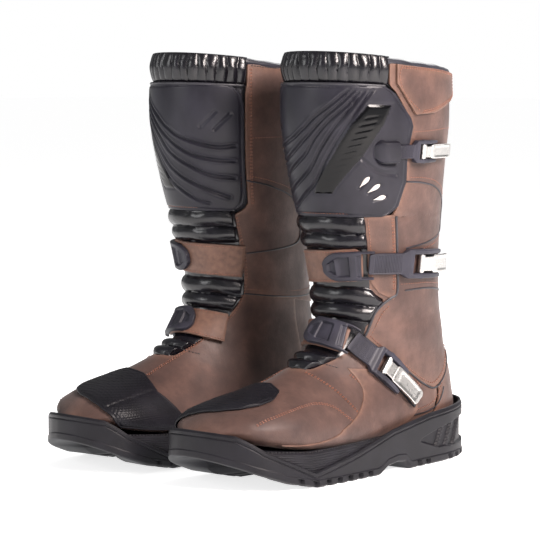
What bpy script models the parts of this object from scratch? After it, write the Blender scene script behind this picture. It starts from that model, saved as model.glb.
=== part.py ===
"""A pair of riding boots for adventure touring, built round one last.

The last is a closed skin. Its place s runs from the rim (0) down the shaft, round the ankle and out to
the toe (13), and its angle th is 0 at the front, 90 on the outer side, 180 at the back and under the sole
and -90 on the inner side. Leather, plate, straps and buckles are laid on that skin at heights above it,
and the sole is lofted from the last's own outline seen from above.
"""

import math

import bmesh
import bpy
import numpy as np
from mathutils import Matrix, Vector

MM = 0.001

# Overall sizes
BOOT_HEIGHT = 352 * MM
FOOT_LENGTH = 301 * MM
FOOT_WIDTH = 105 * MM
SHAFT_WIDTH = 117 * MM
BOOT_SPACING = 152 * MM
TOE_OUT = math.radians(2)
STAGGER = 10 * MM

# Thicknesses and heights above the last
LEATHER = 2.0 * MM
LINING_OUTER = -5.2 * MM
LINING = 1.5 * MM
OVERLAY_GAP = 0.9 * MM
FLAP = 2.2 * MM
PAD_GAP = 1.3 * MM
PAD = 1.6 * MM
PLATE_INNER = -2.6 * MM
PLATE_OUTER = 2.6 * MM
BELLOWS_SKIN = 1.6 * MM
BELLOWS_RIB = 4.2 * MM
STRAP_LOW = {"mid": 1.4 * MM, "low": 4.0 * MM}
STRAP = 2.2 * MM
SLIDER = 4.2 * MM
TOUCH_GAP = 0.5 * MM

# Sole
RIM_GAP = 0.8 * MM
MIDSOLE_WALL = 2.8 * MM
CUP_GAP = 0.5 * MM
CUP_WALL = 3.9 * MM
SHANK_LENGTH = 95 * MM
SHANK_WIDTH = 18 * MM
SHANK = 1.6 * MM
FOOTBED = 3.2 * MM
FOOTBED_REACH = 0.9
WELT_TOP = 64 * MM
SOLE_PAIRS = 16
TREAD_GROOVE = 4.5 * MM
TREAD_DEPTH = 4 * MM
HEEL_RECESS = 1.5 * MM

# Buckles
PIN_RADIUS = 1.5 * MM
PIN_GAP = 0.25 * MM
PIN_HEIGHT = 4.9 * MM
KNUCKLE_WALL = 1.0 * MM
KNUCKLE_RADIUS = PIN_RADIUS + PIN_GAP + KNUCKLE_WALL
BAND = 2.8 * MM
LEVER = 2.2 * MM
CATCH_BASE = 1.1 * MM
TOOTH = 1.5 * MM

# Shin plate and sliders
PLATE_GROOVE_HALF = 1.1 * MM
PLATE_GROOVE_DEPTH = 1.1 * MM
MID_HALF = 14.2 * MM
LOW_HALF = 12.5 * MM
SLIDER_HALF = 12.5 * MM
EAR_REACH = 0.12

# Stations of the last in millimetres: front f and z, back f and z, outer and inner half width, share of
# the chord at the widest point, roundness in front and behind, sideways shift. f points at the toe.
LAST = np.array([
    (164, 352, 2, 337, 60, 57, 0.50, 2.2, 2.2, 0),
    (165, 300, 1, 298, 60, 57, 0.50, 2.2, 2.2, 0),
    (156, 250, 5, 250, 55, 53, 0.50, 2.2, 2.2, 0),
    (141, 200, 8, 198, 49, 48, 0.50, 2.2, 2.2, 0),
    (132, 160, 6, 148, 45, 44, 0.50, 2.2, 2.2, 0),
    (134, 130, -4, 100, 43, 41, 0.48, 2.1, 2.2, 0),
    (148, 109, -17, 62, 42, 40, 0.45, 2.0, 2.3, 0),
    (170, 95, -10, 32, 43, 41, 0.42, 2.0, 2.6, 0),
    (196, 85, 72, 26, 46, 43, 0.38, 2.0, 3.0, 0),
    (223, 76, 147, 24, 52, 47, 0.36, 2.1, 3.2, -1),
    (248, 70, 205, 26, 53, 50, 0.36, 2.2, 3.2, -3),
    (270, 62, 250, 34, 45, 45, 0.40, 2.2, 3.0, -7),
    (282, 52, 275, 41, 25, 27, 0.45, 2.0, 2.4, -10),
    (286, 48, 283, 44, 11, 13, 0.50, 2.0, 2.0, -11),
], float)
ANKLE_ROW = 5
ANKLE_HEIGHT = 100.0
TOE = len(LAST) - 1
# What the stations measure as they are written
DRAWN_LENGTH = 301 * MM
DRAWN_FOOT_WIDTH = 105 * MM
DRAWN_SHAFT_WIDTH = 117 * MM

# Heights of the sole along the foot: f and z in millimetres
TREAD = [(-40, 3), (-26, 1.2), (-16, 0), (84, 0), (92, 7), (104, 8), (118, 6), (130, 0), (212, 0), (242, 6),
         (268, 15), (292, 26), (310, 34)]
TRAY = [(-40, 13), (90, 14), (125, 11), (150, 7), (215, 7), (242, 13), (268, 24), (292, 33), (310, 38)]
CUP_EDGE = [(-40, 52), (-18, 50), (10, 48), (55, 45), (110, 37), (160, 24), (215, 13), (262, 34), (280, 47),
            (310, 54)]
WELT_LINE = [(-40, 46), (10, 42), (72, 33), (110, 31), (160, 30), (215, 29), (262, 33), (280, 43), (310, 49)]

COLOURS = {
    "brown_leather": ((0.137, 0.068, 0.054), 0.55, 0.0),
    "black_leather": ((0.010, 0.009, 0.014), 0.30, 0.0),
    "lining": ((0.045, 0.043, 0.050), 0.90, 0.0),
    "plate": ((0.072, 0.072, 0.092), 0.45, 0.0),
    "rubber": ((0.020, 0.019, 0.026), 0.60, 0.0),
    "foam": ((0.030, 0.028, 0.035), 0.75, 0.0),
    "buckle": ((0.060, 0.060, 0.075), 0.40, 0.0),
    "silver": ((0.760, 0.760, 0.780), 0.25, 1.0),
    "steel": ((0.450, 0.450, 0.460), 0.35, 1.0),
}


def scaled_last():
    """The stations in metres at the driving sizes."""
    table = LAST.copy()
    length = FOOT_LENGTH / DRAWN_LENGTH
    height = (BOOT_HEIGHT / MM - ANKLE_HEIGHT) / (LAST[0, 1] - ANKLE_HEIGHT)
    table[:, [0, 2]] *= length
    for column in (1, 3):
        above = np.maximum(table[:, column] - ANKLE_HEIGHT, 0)
        table[:, column] += above * (height - 1)
    table[:ANKLE_ROW, 4:6] *= SHAFT_WIDTH / DRAWN_SHAFT_WIDTH
    table[ANKLE_ROW:, 4:6] *= FOOT_WIDTH / DRAWN_FOOT_WIDTH
    table[:, [0, 1, 2, 3, 4, 5, 9]] *= MM
    return table


STATIONS = scaled_last()
LENGTH_SCALE = STATIONS[TOE, 0] / (LAST[TOE, 0] * MM)


def along(table, s):
    """Smooth curve through the rows of a table at the places s, run on straight above the first row."""
    s = np.asarray(s, float)
    above = np.minimum(s, 0.0)[..., None]
    s = np.clip(s, 0, len(table) - 1 - 1e-9)
    i = np.floor(s).astype(int)
    t = (s - i)[..., None]
    a, b = table[np.maximum(i - 1, 0)], table[i]
    c, d = table[i + 1], table[np.minimum(i + 2, len(table) - 1)]
    curve = b + 0.5 * t * ((c - a) + t * ((2 * a - 5 * b + 4 * c - d) + t * (3 * (b - c) + d - a)))
    return curve + above * (table[1] - table[0])


def last_point(s, th):
    """Points of the last: a section across each station's chord, rounded as a superellipse."""
    s, th = np.broadcast_arrays(np.asarray(s, float), np.radians(np.asarray(th, float)))
    row = along(STATIONS, s)
    (front_f, front_z, back_f, back_z, outer, inner, share, round_front, round_back,
     shift) = np.moveaxis(row, -1, 0)
    sine, cosine = np.sin(th), np.cos(th)
    power = 2 / np.where(cosine > 0, round_front, round_back)
    reach = np.where(cosine > 0, 1 - share, share) * np.sign(cosine) * np.abs(cosine) ** power
    x = np.where(sine > 0, outer, inner) * np.sign(sine) * np.abs(sine) ** power + shift
    f = back_f + (share + reach) * (front_f - back_f)
    z = back_z + (share + reach) * (front_z - back_z)
    return np.stack([x, -f, z], -1)


def outward(s, th):
    """Unit normals of the last, pointing out."""
    s, th = np.broadcast_arrays(np.asarray(s, float), np.asarray(th, float))
    down = last_point(s + 0.02, th) - last_point(s - 0.02, th)
    round_it = last_point(s, th + 0.7) - last_point(s, th - 0.7)
    normal = np.cross(down, round_it)
    normal /= np.linalg.norm(normal, axis=-1, keepdims=True)
    middle = (last_point(s, 0 * th) + last_point(s, 0 * th + 180)) / 2
    side = np.sign(((last_point(s, th) - middle) * normal).sum(-1, keepdims=True))
    return normal * side


def skin(s, th, height):
    """Points at a height above the last."""
    return last_point(s, th) + outward(s, th) * np.asarray(height)[..., None]


def finish_mesh(mesh_bm, side):
    """Mirrors a left-boot mesh for the right boot and turns its faces out."""
    for vertex in mesh_bm.verts:
        vertex.co.x *= side
    bmesh.ops.recalc_face_normals(mesh_bm, faces=mesh_bm.faces)
    return mesh_bm


def shell(outer, inner):
    """Panel between two grids of points."""
    rows, columns = outer.shape[:2]
    mesh_bm = bmesh.new()
    top = [[mesh_bm.verts.new(p) for p in row] for row in outer]
    low = [[mesh_bm.verts.new(p) for p in row] for row in inner]
    for i in range(rows - 1):
        for j in range(columns - 1):
            mesh_bm.faces.new((top[i][j], top[i + 1][j], top[i + 1][j + 1], top[i][j + 1]))
            mesh_bm.faces.new((low[i][j], low[i][j + 1], low[i + 1][j + 1], low[i + 1][j]))
    for i, order in ((0, 1), (rows - 1, -1)):
        for j in range(columns - 1):
            mesh_bm.faces.new((top[i][j], top[i][j + 1], low[i][j + 1], low[i][j])[::order])
    for j, order in ((0, 1), (columns - 1, -1)):
        for i in range(rows - 1):
            mesh_bm.faces.new((top[i][j], low[i][j], low[i + 1][j], top[i + 1][j])[::order])
    return mesh_bm


def loft(rings):
    """Body through a row of closed rings, capped at both ends."""
    mesh_bm = bmesh.new()
    loops = [[mesh_bm.verts.new(p) for p in ring] for ring in rings]
    for a, b in zip(loops, loops[1:]):
        for i in range(len(a)):
            mesh_bm.faces.new((a[i - 1], a[i], b[i], b[i - 1]))
    mesh_bm.faces.new(loops[0])
    mesh_bm.faces.new(loops[-1])
    return mesh_bm


def through(points, x):
    """Value at x on straight runs through (x, value) pairs."""
    return np.interp(x, [p[0] for p in points], [p[1] for p in points])


def convex_outline(points):
    """Corners of the convex outline round points on a plane, anticlockwise."""
    order = sorted(map(tuple, points))

    def half(seq):
        chain = []
        for p in seq:
            while len(chain) > 1:
                (ax, ay), (bx, by) = chain[-2], chain[-1]
                if (bx - ax) * (p[1] - ay) - (by - ay) * (p[0] - ax) > 0:
                    break
                chain.pop()
            chain.append(p)
        return chain[:-1]

    return np.array(half(order) + half(order[::-1]))


def sole_outline():
    """The last's outline from above: heel, outer side to the toe, then the inner side back, in pairs."""
    s, th = np.meshgrid(np.linspace(5.6, TOE, 90), np.arange(0, 360, 4.0), indexing="ij")
    points = last_point(s, th).reshape(-1, 3)
    hull = convex_outline(points[points[:, 2] < WELT_TOP][:, :2])
    heel, toe = hull[np.argmax(hull[:, 1])], hull[np.argmin(hull[:, 1])]
    stations = (1 - np.cos(np.linspace(0, math.pi, SOLE_PAIRS + 2)[1:-1])) / 2
    y = heel[1] + (toe[1] - heel[1]) * stations
    sides = []
    for sign in (1, -1):
        side = np.array(sorted(((p[1], p[0]) for p in hull if (p[0] - np.interp(
            p[1], [toe[1], heel[1]], [toe[0], heel[0]])) * sign >= 0)))
        x = np.interp(y, side[:, 0], side[:, 1])
        sides.append(np.column_stack([x, y]))
    return np.vstack([heel[None], sides[0], toe[None], sides[1][::-1]])


OUTLINE = sole_outline()


def foot_line():
    """Pairs of f and z in millimetres along the bottom of the last."""
    line = last_point(np.linspace(6.9, TOE, 40), 180.0)
    line = line[np.argsort(-line[:, 1])]
    f = -line[:, 1] / LENGTH_SCALE / MM
    return list(zip(f, line[:, 2] / MM))


FOOT_LINE = foot_line()


def sole_ring(grow, heights, lift=0.0, reach=1.0):
    """Ring of the sole: the outline grown outwards, at the height that a table gives along the foot."""
    ahead = np.roll(OUTLINE, -1, 0) - np.roll(OUTLINE, 1, 0)
    ahead /= np.linalg.norm(ahead, axis=1, keepdims=True)
    plan = OUTLINE + np.stack([-ahead[:, 1], ahead[:, 0]], -1) * grow
    plan[:, 1] = plan[0, 1] + (plan[:, 1] - plan[0, 1]) * reach
    z = through(heights, -plan[:, 1] / LENGTH_SCALE / MM) * MM + lift
    return np.column_stack([plan, z])


def ladder_loft(rings):
    """Body through rings of the sole, closed top and bottom by strips from side to side."""
    mesh_bm = bmesh.new()
    loops = [[mesh_bm.verts.new(p) for p in ring] for ring in rings]
    for a, b in zip(loops, loops[1:]):
        for i in range(len(a)):
            mesh_bm.faces.new((a[i - 1], a[i], b[i], b[i - 1]))
    for loop in (loops[0], loops[-1]):
        count = len(loop)
        mesh_bm.faces.new((loop[0], loop[1], loop[-1]))
        for i in range(1, SOLE_PAIRS):
            mesh_bm.faces.new((loop[i], loop[i + 1], loop[count - i - 1], loop[count - i]))
        mesh_bm.faces.new((loop[SOLE_PAIRS], loop[SOLE_PAIRS + 1], loop[SOLE_PAIRS + 2]))
    return mesh_bm


CUP_OUT = RIM_GAP + MIDSOLE_WALL + CUP_GAP + CUP_WALL
CUP_IN = RIM_GAP + MIDSOLE_WALL + CUP_GAP
MIDSOLE_OUT = RIM_GAP + MIDSOLE_WALL


def outsole():
    """Cup sole: tread, side and the wall whose edge dips over the ball of the foot."""
    return ladder_loft([
        sole_ring(CUP_OUT - 4 * MM, TREAD),
        sole_ring(CUP_OUT, TREAD, 3.5 * MM),
        sole_ring(CUP_OUT - 0.6 * MM, TREAD, 8 * MM),
        sole_ring(CUP_OUT - 0.4 * MM, CUP_EDGE, -1.2 * MM),
        sole_ring(CUP_OUT - 1.4 * MM, CUP_EDGE),
        sole_ring(CUP_IN, CUP_EDGE),
        sole_ring(CUP_IN, TRAY),
    ])


# Grooves across the tread, at these places along the foot in millimetres
TREAD_GROOVES = (-4, 9, 22, 58, 71, 143, 157, 171, 185, 199, 214, 230)


def tread_cutter():
    """Bars across the sole, deep enough to part the tread into lugs."""
    mesh_bm = bmesh.new()
    for f in TREAD_GROOVES:
        start = f * MM * LENGTH_SCALE
        lift = through(TREAD, f) * MM + TREAD_DEPTH
        ends = [(-FOOT_WIDTH, 0.0), (FOOT_WIDTH, 3 * MM)]
        rings = []
        for x, skew in ends:
            y = -start - skew
            rings.append([mesh_bm.verts.new(p) for p in ((x, y, -5 * MM), (x, y - TREAD_GROOVE, -5 * MM),
                                                         (x, y - TREAD_GROOVE, lift), (x, y, lift))])
        for i in range(4):
            mesh_bm.faces.new((rings[0][i - 1], rings[0][i], rings[1][i], rings[1][i - 1]))
        mesh_bm.faces.new(rings[0])
        mesh_bm.faces.new(rings[1])
    return mesh_bm


RECESS_LOW = [(-30, 17), (0, 13), (40, 13), (72, 22)]
RECESS_HIGH = [(-30, 38), (0, 37), (40, 31), (72, 24)]


def heel_recess(side):
    """Angular hollow in the side of the heel, deepest over the arch's end."""
    half = SOLE_PAIRS + 1
    first = range(1, 6) if side > 0 else range(2 * half - 1, 2 * half - 6, -1)
    index = list(first)
    rows = []
    for heights in (RECESS_LOW, RECESS_HIGH):
        rows.append(heights)
    outer = np.array([sole_ring(CUP_OUT + 4 * MM, heights)[index] for heights in rows])
    inner = np.array([sole_ring(CUP_OUT - 0.5 * MM - HEEL_RECESS, heights)[index] for heights in rows])
    return shell(outer, inner)


def midsole():
    """Foam tray whose rim shows between the cup's edge and the leather."""
    return ladder_loft([
        sole_ring(MIDSOLE_OUT, TRAY, TOUCH_GAP),
        sole_ring(MIDSOLE_OUT, WELT_LINE, -1 * MM),
        sole_ring(MIDSOLE_OUT - 0.8 * MM, WELT_LINE),
        sole_ring(RIM_GAP, WELT_LINE),
        sole_ring(RIM_GAP, FOOT_LINE, -1.4 * MM),
    ])


def shank_bar(gap):
    """Strip down the middle of the foot line; gap grows it into the pocket that it lies in."""
    start = 60 * MM * LENGTH_SCALE
    rings = []
    for f in np.linspace(start - gap, start + SHANK_LENGTH + gap, 7):
        top = through(FOOT_LINE, f / LENGTH_SCALE / MM) * MM - 1.9 * MM + (4 * MM if gap else 0)
        low = through(FOOT_LINE, f / LENGTH_SCALE / MM) * MM - 1.9 * MM - SHANK - gap
        half = SHANK_WIDTH / 2 + gap
        rings.append([(-half, -f, low), (half, -f, low), (half, -f, top), (-half, -f, top)])
    return loft(rings)


def footbed():
    """Insole with a raised rim, lying in the bottom of the lining."""
    lift = -LINING_OUTER + LINING + 2.2 * MM
    return ladder_loft([
        sole_ring(-27 * MM, FOOT_LINE, lift, FOOTBED_REACH),
        sole_ring(-18 * MM, FOOT_LINE, lift + 4.5 * MM, FOOTBED_REACH),
        sole_ring(-19 * MM, FOOT_LINE, lift + FOOTBED + 2.5 * MM, FOOTBED_REACH),
        sole_ring(-26 * MM, FOOT_LINE, lift + FOOTBED, FOOTBED_REACH),
    ])


BOOTIE_ROWS = [0.12, 1.5, 3, 4, 4.6, 5.1, 5.6, 6.1, 6.7, 7.3, 8, 8.8, 9.8, 10.8, 11.4]


def bootie():
    """Lining sock: open at the rim, closed round the toes."""
    s = np.repeat(np.array(BOOTIE_ROWS)[:, None], 12, axis=1)
    th = np.repeat(np.arange(0, 360, 30.0)[None, :], len(s), axis=0)
    outer, inner = skin(s, th, LINING_OUTER + 0 * s), skin(s, th, LINING_OUTER - LINING + 0 * s)
    rings = [*inner[::-1][:-1], inner[0], outer[0], *outer[1:]]
    return loft(rings)


def edge_angle(s):
    """Angle at which the upper's leather turns in over the edge of the sole."""
    return 104 + 31 * np.clip((np.asarray(s) - 6.9) / 1.5, 0, 1)


VAMP_TOP = [(-104, 4.45), (-56, 4.45), (-42, 5.1), (-30, 5.8), (-24, 6.6), (-17, 7.35), (0, 7.5), (17, 7.35),
            (25, 6.8), (34, 6.1), (44, 5.5), (74, 6.0), (100, 6.45), (104, 6.45)]
QUARTER_FOOT = [(40, 5.3), (44, 5.38), (74, 5.88), (100, 6.33), (140, 5.2), (180, 5.1)]


def vamp():
    """Toe, instep and sides of the foot, from the bellows and the quarters down to the sole."""
    top = np.array([-104, -92, -79, -57, -43, -31, -23, -14, 14, 24, 33, 44, 62, 79, 92, 104], float)
    start = through(VAMP_TOP, top)[None, :]
    share = np.array([0, 0.14, 0.3, 0.46, 0.62, 0.77, 0.89, 0.96, 1.0])[:, None]
    s = start + (TOE - start) * share
    th = top[None, :] / 104 * edge_angle(s)
    return shell(skin(s, th, 0 * s), skin(s, th, 0 * s - LEATHER * np.clip(TOE + 0.25 - s, 0.25, 1)))


def heel_counter():
    """Stiffened leather cup round the heel."""
    th_top = np.linspace(106, 256, 9)[None, :]
    fold = np.minimum(th_top, 360 - th_top)
    start = through([(106, 6.4), (112, 6.3), (140, 5.3), (180, 5.2)], fold)
    share = np.linspace(0, 1, 7)[:, None]
    s = start + (7.9 - start) * share
    spread = (180 - edge_angle(s) - 3) / (180 - 106)
    th = 180 + (th_top - 180) * np.minimum(spread, 1)
    return shell(skin(s, th, 0 * s), skin(s, th, 0 * s - LEATHER))


# Edges of the shaft's pieces, as rows of s and th
QUARTER_FRONT = [(0.0, 68), (0.45, 68), (0.56, 74), (0.95, 85.5), (1.1, 87.5), (1.55, 84), (2.05, 84),
                 (2.5, 75), (2.64, 72), (2.7, 46), (4.1, 46), (4.3, 62), (4.65, 51), (5.1, 45), (5.5, 45)]
PLATE_OUTER_EDGE = [(0.52, 62), (0.56, 68), (0.95, 82), (1.1, 84), (1.55, 80), (2.05, 80), (2.5, 71),
                    (2.62, 60)]
PLATE_INNER_EDGE = [(0.52, -54), (0.62, -60), (0.8, -63), (2.4, -62), (2.56, -58), (2.62, -50)]
INNER_FRONT = [(0.0, -68), (0.45, -68), (0.6, -67), (2.5, -66), (2.6, -62), (2.7, -52), (3.95, -56),
               (4.4, -56)]
BELLOWS_OUTER = [(2.68, 43), (4.05, 43), (4.2, 48), (4.35, 58), (4.65, 47), (5.1, 41), (5.6, 39), (6.1, 31),
                 (6.8, 22), (7.25, 14)]
BELLOWS_INNER = [(2.68, -49), (3.95, -53), (4.4, -52), (5.0, -41), (5.7, -28), (6.5, -22), (7.25, -14)]


def shaft_outer():
    """Outer side of the shaft, with its foot cut to a point over the ankle."""
    rows = np.array([0.0, 0.45, 0.56, 0.95, 1.1, 1.55, 2.05, 2.5, 2.64, 2.7, 3.4, 4.1, 4.3, 4.65, 5.0])
    columns = np.array([0, 0.14, 0.3, 0.46, 0.62, 0.8, 1.0])
    s, share = np.meshgrid(rows, columns, indexing="ij")
    start = through(QUARTER_FRONT, s)
    th = start + (179.6 - start) * share
    low = through(QUARTER_FOOT, th[-1])
    s = np.vstack([s, (s[-1] + (low - s[-1]) * 0.5)[None], low[None]])
    th = np.vstack([th, th[-1:], th[-1:]])
    return shell(skin(s, th, 0 * s), skin(s, th, 0 * s - LEATHER))


def shaft_inner():
    """Inner side of the shaft down to the seam above the ankle."""
    rows = [0.0, 0.45, 0.6, 1.5, 2.5, 2.6, 2.7, 3.3, 3.95, 4.35]
    s = np.repeat(np.array(rows)[:, None], 8, axis=1)
    start = through(INNER_FRONT, s)
    th = start + (-179.6 - start) * np.linspace(0, 1, 8)[None, :]
    return shell(skin(s, th, 0 * s), skin(s, th, 0 * s - LEATHER))


RIBS = [(2.68, 2.95), (2.95, 3.22), (4.06, 4.5), (4.5, 4.95), (6.45, 6.85), (6.85, 7.25)]


def bellows():
    """Flex panel with padded ribs across the front, flat where the straps cross it."""
    rows, heights = [], []
    for low, high in RIBS:
        for share, height in ((0.0, 0.0), (0.3, 1.0), (0.7, 1.0)):
            rows.append(low + (high - low) * share)
            heights.append(height * BELLOWS_RIB)
        rows.append(high - 0.01)
        heights.append(0.0)
    rows += [3.64, 5.3, 5.7, 6.1]
    heights += [0.0] * 4
    order = np.argsort(rows)
    rows, heights = np.array(rows)[order], np.array(heights)[order]
    columns = np.array([0, 0.07, 0.36, 0.64, 0.93, 1.0])
    s, share = np.meshgrid(rows, columns, indexing="ij")
    start, end = through(BELLOWS_INNER, s), through(BELLOWS_OUTER, s)
    th = start + (end - start) * share
    rise = heights[:, None] * np.array([0, 1, 1, 1, 1, 0])[None, :]
    return shell(skin(s, th, rise), skin(s, th, 0 * s - BELLOWS_SKIN))


def shin_plate():
    """Moulded guard over the shin."""
    rows = np.array([0.52, 0.56, 0.8, 0.95, 1.1, 1.55, 2.05, 2.3, 2.5, 2.58, 2.62])
    columns = np.array([0, 0.03, *np.linspace(0.14, 0.86, 7), 0.97, 1.0])
    s, share = np.meshgrid(rows, columns, indexing="ij")
    start, end = through(PLATE_INNER_EDGE, s), through(PLATE_OUTER_EDGE, s)
    th = start + (end - start) * share
    edge = np.minimum(1, np.minimum(share, 1 - share) / 0.03)
    edge = np.minimum(edge, np.minimum(1, np.minimum(s - rows[0], rows[-1] - s) / 0.04))
    return shell(skin(s, th, PLATE_OUTER * (0.45 + 0.55 * edge)), skin(s, th, PLATE_INNER + 0 * s))


def cuff():
    """Gathered collar over the shin."""
    rows = np.array([-0.1, -0.05, 0.15, 0.38, 0.46])
    rise = np.array([-1.5, 1.2, 2.8, 1.8, 0.2]) * MM
    s = np.repeat(rows[:, None], 11, axis=1)
    th = np.repeat(np.linspace(-65.5, 65.5, 11)[None, :], 5, axis=0)
    low = np.array([-3.0, -3.4, -3.4, -3.2, -3.0]) * MM
    return shell(skin(s, th, rise[:, None] + 0 * s), skin(s, th, low[:, None] + 0 * s))


def closure_flap():
    """Flap that closes over the outer side at the rim; it opens about its front edge."""
    columns = np.array([0, 0.14, 0.28, 0.42, 0.56, 0.7, 0.84, 0.95, 1.0])
    share = np.array([0, 0.33, 0.67, 1.0])[:, None]
    th = 70.5 + 69 * columns[None, :] + 15 * np.maximum(share - 0.45, 0) / 0.55 * (1 - columns[None, :])
    top = 0.02 + 0.1 * (columns[None, :] > 0.97)
    low = through([(0, 0.9), (0.28, 0.86), (0.84, 0.6), (0.95, 0.52), (1.0, 0.42)], columns)[None, :]
    s = top + (low - top) * share
    return shell(skin(s, th, OVERLAY_GAP + FLAP + 0 * s), skin(s, th, OVERLAY_GAP + 0 * s))


PAD_FRONT = [(-108, 11.3), (-90, 11.4), (-50, 11.4), (-20, 11.2), (5, 10.9), (20, 10.5), (27, 10.0)]
PAD_BACK = [(-108, 9.35), (-90, 9.4), (-50, 9.2), (-20, 8.6), (5, 8.5), (20, 8.8), (27, 9.4)]


def shift_pad():
    """Patch against wear from the gear lever, over the toes and down the inner side."""
    th_row = np.array([-108, -96, -82, -66, -48, -30, -10, 8, 20, 27], float)[None, :]
    share = np.linspace(0, 1, 5)[:, None]
    front, back = through(PAD_FRONT, th_row), through(PAD_BACK, th_row)
    s = back + (front - back) * share
    th = th_row + 0 * s
    return shell(skin(s, th, PAD_GAP + PAD + 0 * s), skin(s, th, PAD_GAP + 0 * s))


def track_frame(track, t):
    """Points of a track (rows of t, s, th), with unit vectors along it, across it and out of the boot."""
    table = np.array(track, float)
    rate = (table[1, 1:] - table[0, 1:]) / (table[1, 0] - table[0, 0])

    def at(value):
        before = np.minimum(value - table[0, 0], 0)
        s = np.interp(value, table[:, 0], table[:, 1]) + before * rate[0]
        th = np.interp(value, table[:, 0], table[:, 2]) + before * rate[1]
        return s, th

    s, th = at(t)
    a, b = last_point(*at(t - 0.02)), last_point(*at(t + 0.02))
    up = outward(s, th)
    forward = (b - a) / np.linalg.norm(b - a, axis=-1, keepdims=True)
    across = np.cross(up, forward)
    across /= np.linalg.norm(across, axis=-1, keepdims=True)
    return last_point(s, th), np.cross(across, up), across, up


def bar(track, stations, chamfer=0.7 * MM):
    """Strip along a track. Each station is (t, half width, low, high) with heights above the last."""
    stations = np.array(stations, float)
    centre, _, across, up = track_frame(track, stations[:, 0])
    rings = []
    for p, w, n, (_, half, low, high) in zip(centre, across, up, stations):
        c = min(chamfer, 0.4 * (high - low), 0.4 * half)
        corners = ((-half, low), (half, low), (half, high - c), (half - c, high), (c - half, high),
                   (-half, high - c))
        rings.append([p + w * a + n * b for a, b in corners])
    return loft(rings)


def pin_body(track, t, half, radius, height=PIN_HEIGHT):
    """Cylinder across a track, at a height above the last."""
    centre, along_it, across, up = track_frame(track, np.array([t]))
    middle = centre[0] + up[0] * height
    rings = []
    for end in (-half, half):
        turn = np.linspace(0, 2 * math.pi, 10, endpoint=False)
        rings.append([middle + across[0] * end + radius * (along_it[0] * math.cos(a) + up[0] * math.sin(a))
                      for a in turn])
    return loft(rings)


class Buckle:
    """Sizes of one buckle: its track on the last and the widths of its band, fork and lever."""

    def __init__(self, name, track, band_half, fork_half, lever_half, root_low, lever_end, catch_start,
                 catch_end):
        self.name = name
        self.track = track
        self.band_half = band_half
        self.fork_half = fork_half
        self.lever_half = lever_half
        self.root_low = root_low
        self.lever_end = lever_end
        self.catch_start = catch_start
        self.catch_end = catch_end

    # On every track t = 0 is the root of the band, 1 its pin and 1.6 the tips of the fork.
    def band(self):
        b, f, root = self.band_half, self.fork_half, self.root_low
        low = 2.4 * MM
        thick = PIN_HEIGHT + KNUCKLE_RADIUS
        return bar(self.track, [
            (0.0, b * 0.85, root, root + BAND),
            (0.3, b * 0.95, (root + low) / 2, (root + low) / 2 + BAND),
            (0.62, b * 0.95, low, low + BAND),
            (0.75, f, low - 0.4 * MM, thick),
            (1.16, f, low - 0.4 * MM, thick),
            (1.36, f * 0.96, low, thick - 1 * MM),
            (1.55, f * 0.92, low + 0.4 * MM, thick - 2 * MM),
        ])

    def slot(self):
        half = self.lever_half + TOUCH_GAP
        return bar(self.track, [(t, half, -3 * MM, 14 * MM) for t in (0.84, 1.0, 1.2, 1.4, 1.75)], 0.0)

    def lever(self):
        h = self.lever_half
        top = PIN_HEIGHT + KNUCKLE_RADIUS
        low = top - LEVER
        stations = [(1.0, h, low - 0.6 * MM, top), (1.16, h, low, top)]
        for t in np.linspace(1.45, self.lever_end - 0.12, 3):
            stations.append((t, h, low, top))
        stations.append((self.lever_end, h * 0.55, low + 0.3 * MM, top - 0.5 * MM))
        return bar(self.track, stations)

    def hook(self):
        """Nose under the lever that drops between two teeth of the catch."""
        low = OVERLAY_GAP + CATCH_BASE + TOOTH + TOUCH_GAP
        top = PIN_HEIGHT + KNUCKLE_RADIUS - 0.8 * MM
        at = self.catch_start + 0.2
        half = self.lever_half * 0.6
        return bar(self.track, [(at, half, low, top), (at + 0.12, half, low + 0.5 * MM, top)], 0.2 * MM)

    def catch(self):
        """Receiver with a row of saw teeth."""
        base = OVERLAY_GAP + CATCH_BASE
        half = self.lever_half - 1 * MM
        t = self.catch_start
        pitch = (self.catch_end - self.catch_start) / 4
        stations = [(t, half * 0.8, OVERLAY_GAP, base)]
        for tooth in range(3):
            stations.append((t + pitch * (tooth + 0.45), half, OVERLAY_GAP, base))
            stations.append((t + pitch * (tooth + 1.3), half, OVERLAY_GAP, base + TOOTH))
        stations.append((self.catch_end, half * 0.8, OVERLAY_GAP, base))
        return bar(self.track, stations, 0.3 * MM)


BUCKLES = [
    Buckle("top", [(0, 1.53, 70), (1, 1.53, 90), (2.6, 1.53, 124), (4, 1.53, 150)],
           6 * MM, 9.5 * MM, 6 * MM, 4.6 * MM, 2.3, 1.35, 2.6),
    Buckle("mid", [(0, 3.48, 43), (1, 3.48, 91), (1.6, 3.48, 119), (3, 3.48, 168)],
           9.5 * MM, 12.5 * MM, 7.8 * MM, 4.2 * MM, 2.1, 1.15, 2.3),
    Buckle("low", [(0, 5.66, 32), (1, 6.28, 61), (1.6, 6.72, 76), (3, 7.5, 104)],
           9.5 * MM, 12.5 * MM, 7.8 * MM, 4.2 * MM, 2.25, 1.15, 2.35),
]

# Straps and sliders: rows of t, s, th
MID_STRAP = [(0, 3.62, -54), (0.6, 3.58, 1), (1, 3.51, 38), (1.3, 3.48, 65)]
LOW_STRAP = [(0, 5.55, -40), (0.6, 5.60, 0), (1, 5.68, 28), (1.3, 5.95, 45)]
# Track, start and end of each slider
SLIDERS = {"mid": (MID_STRAP, 0.6, 0.98), "low": (LOW_STRAP, 0.42, 0.97)}


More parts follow.
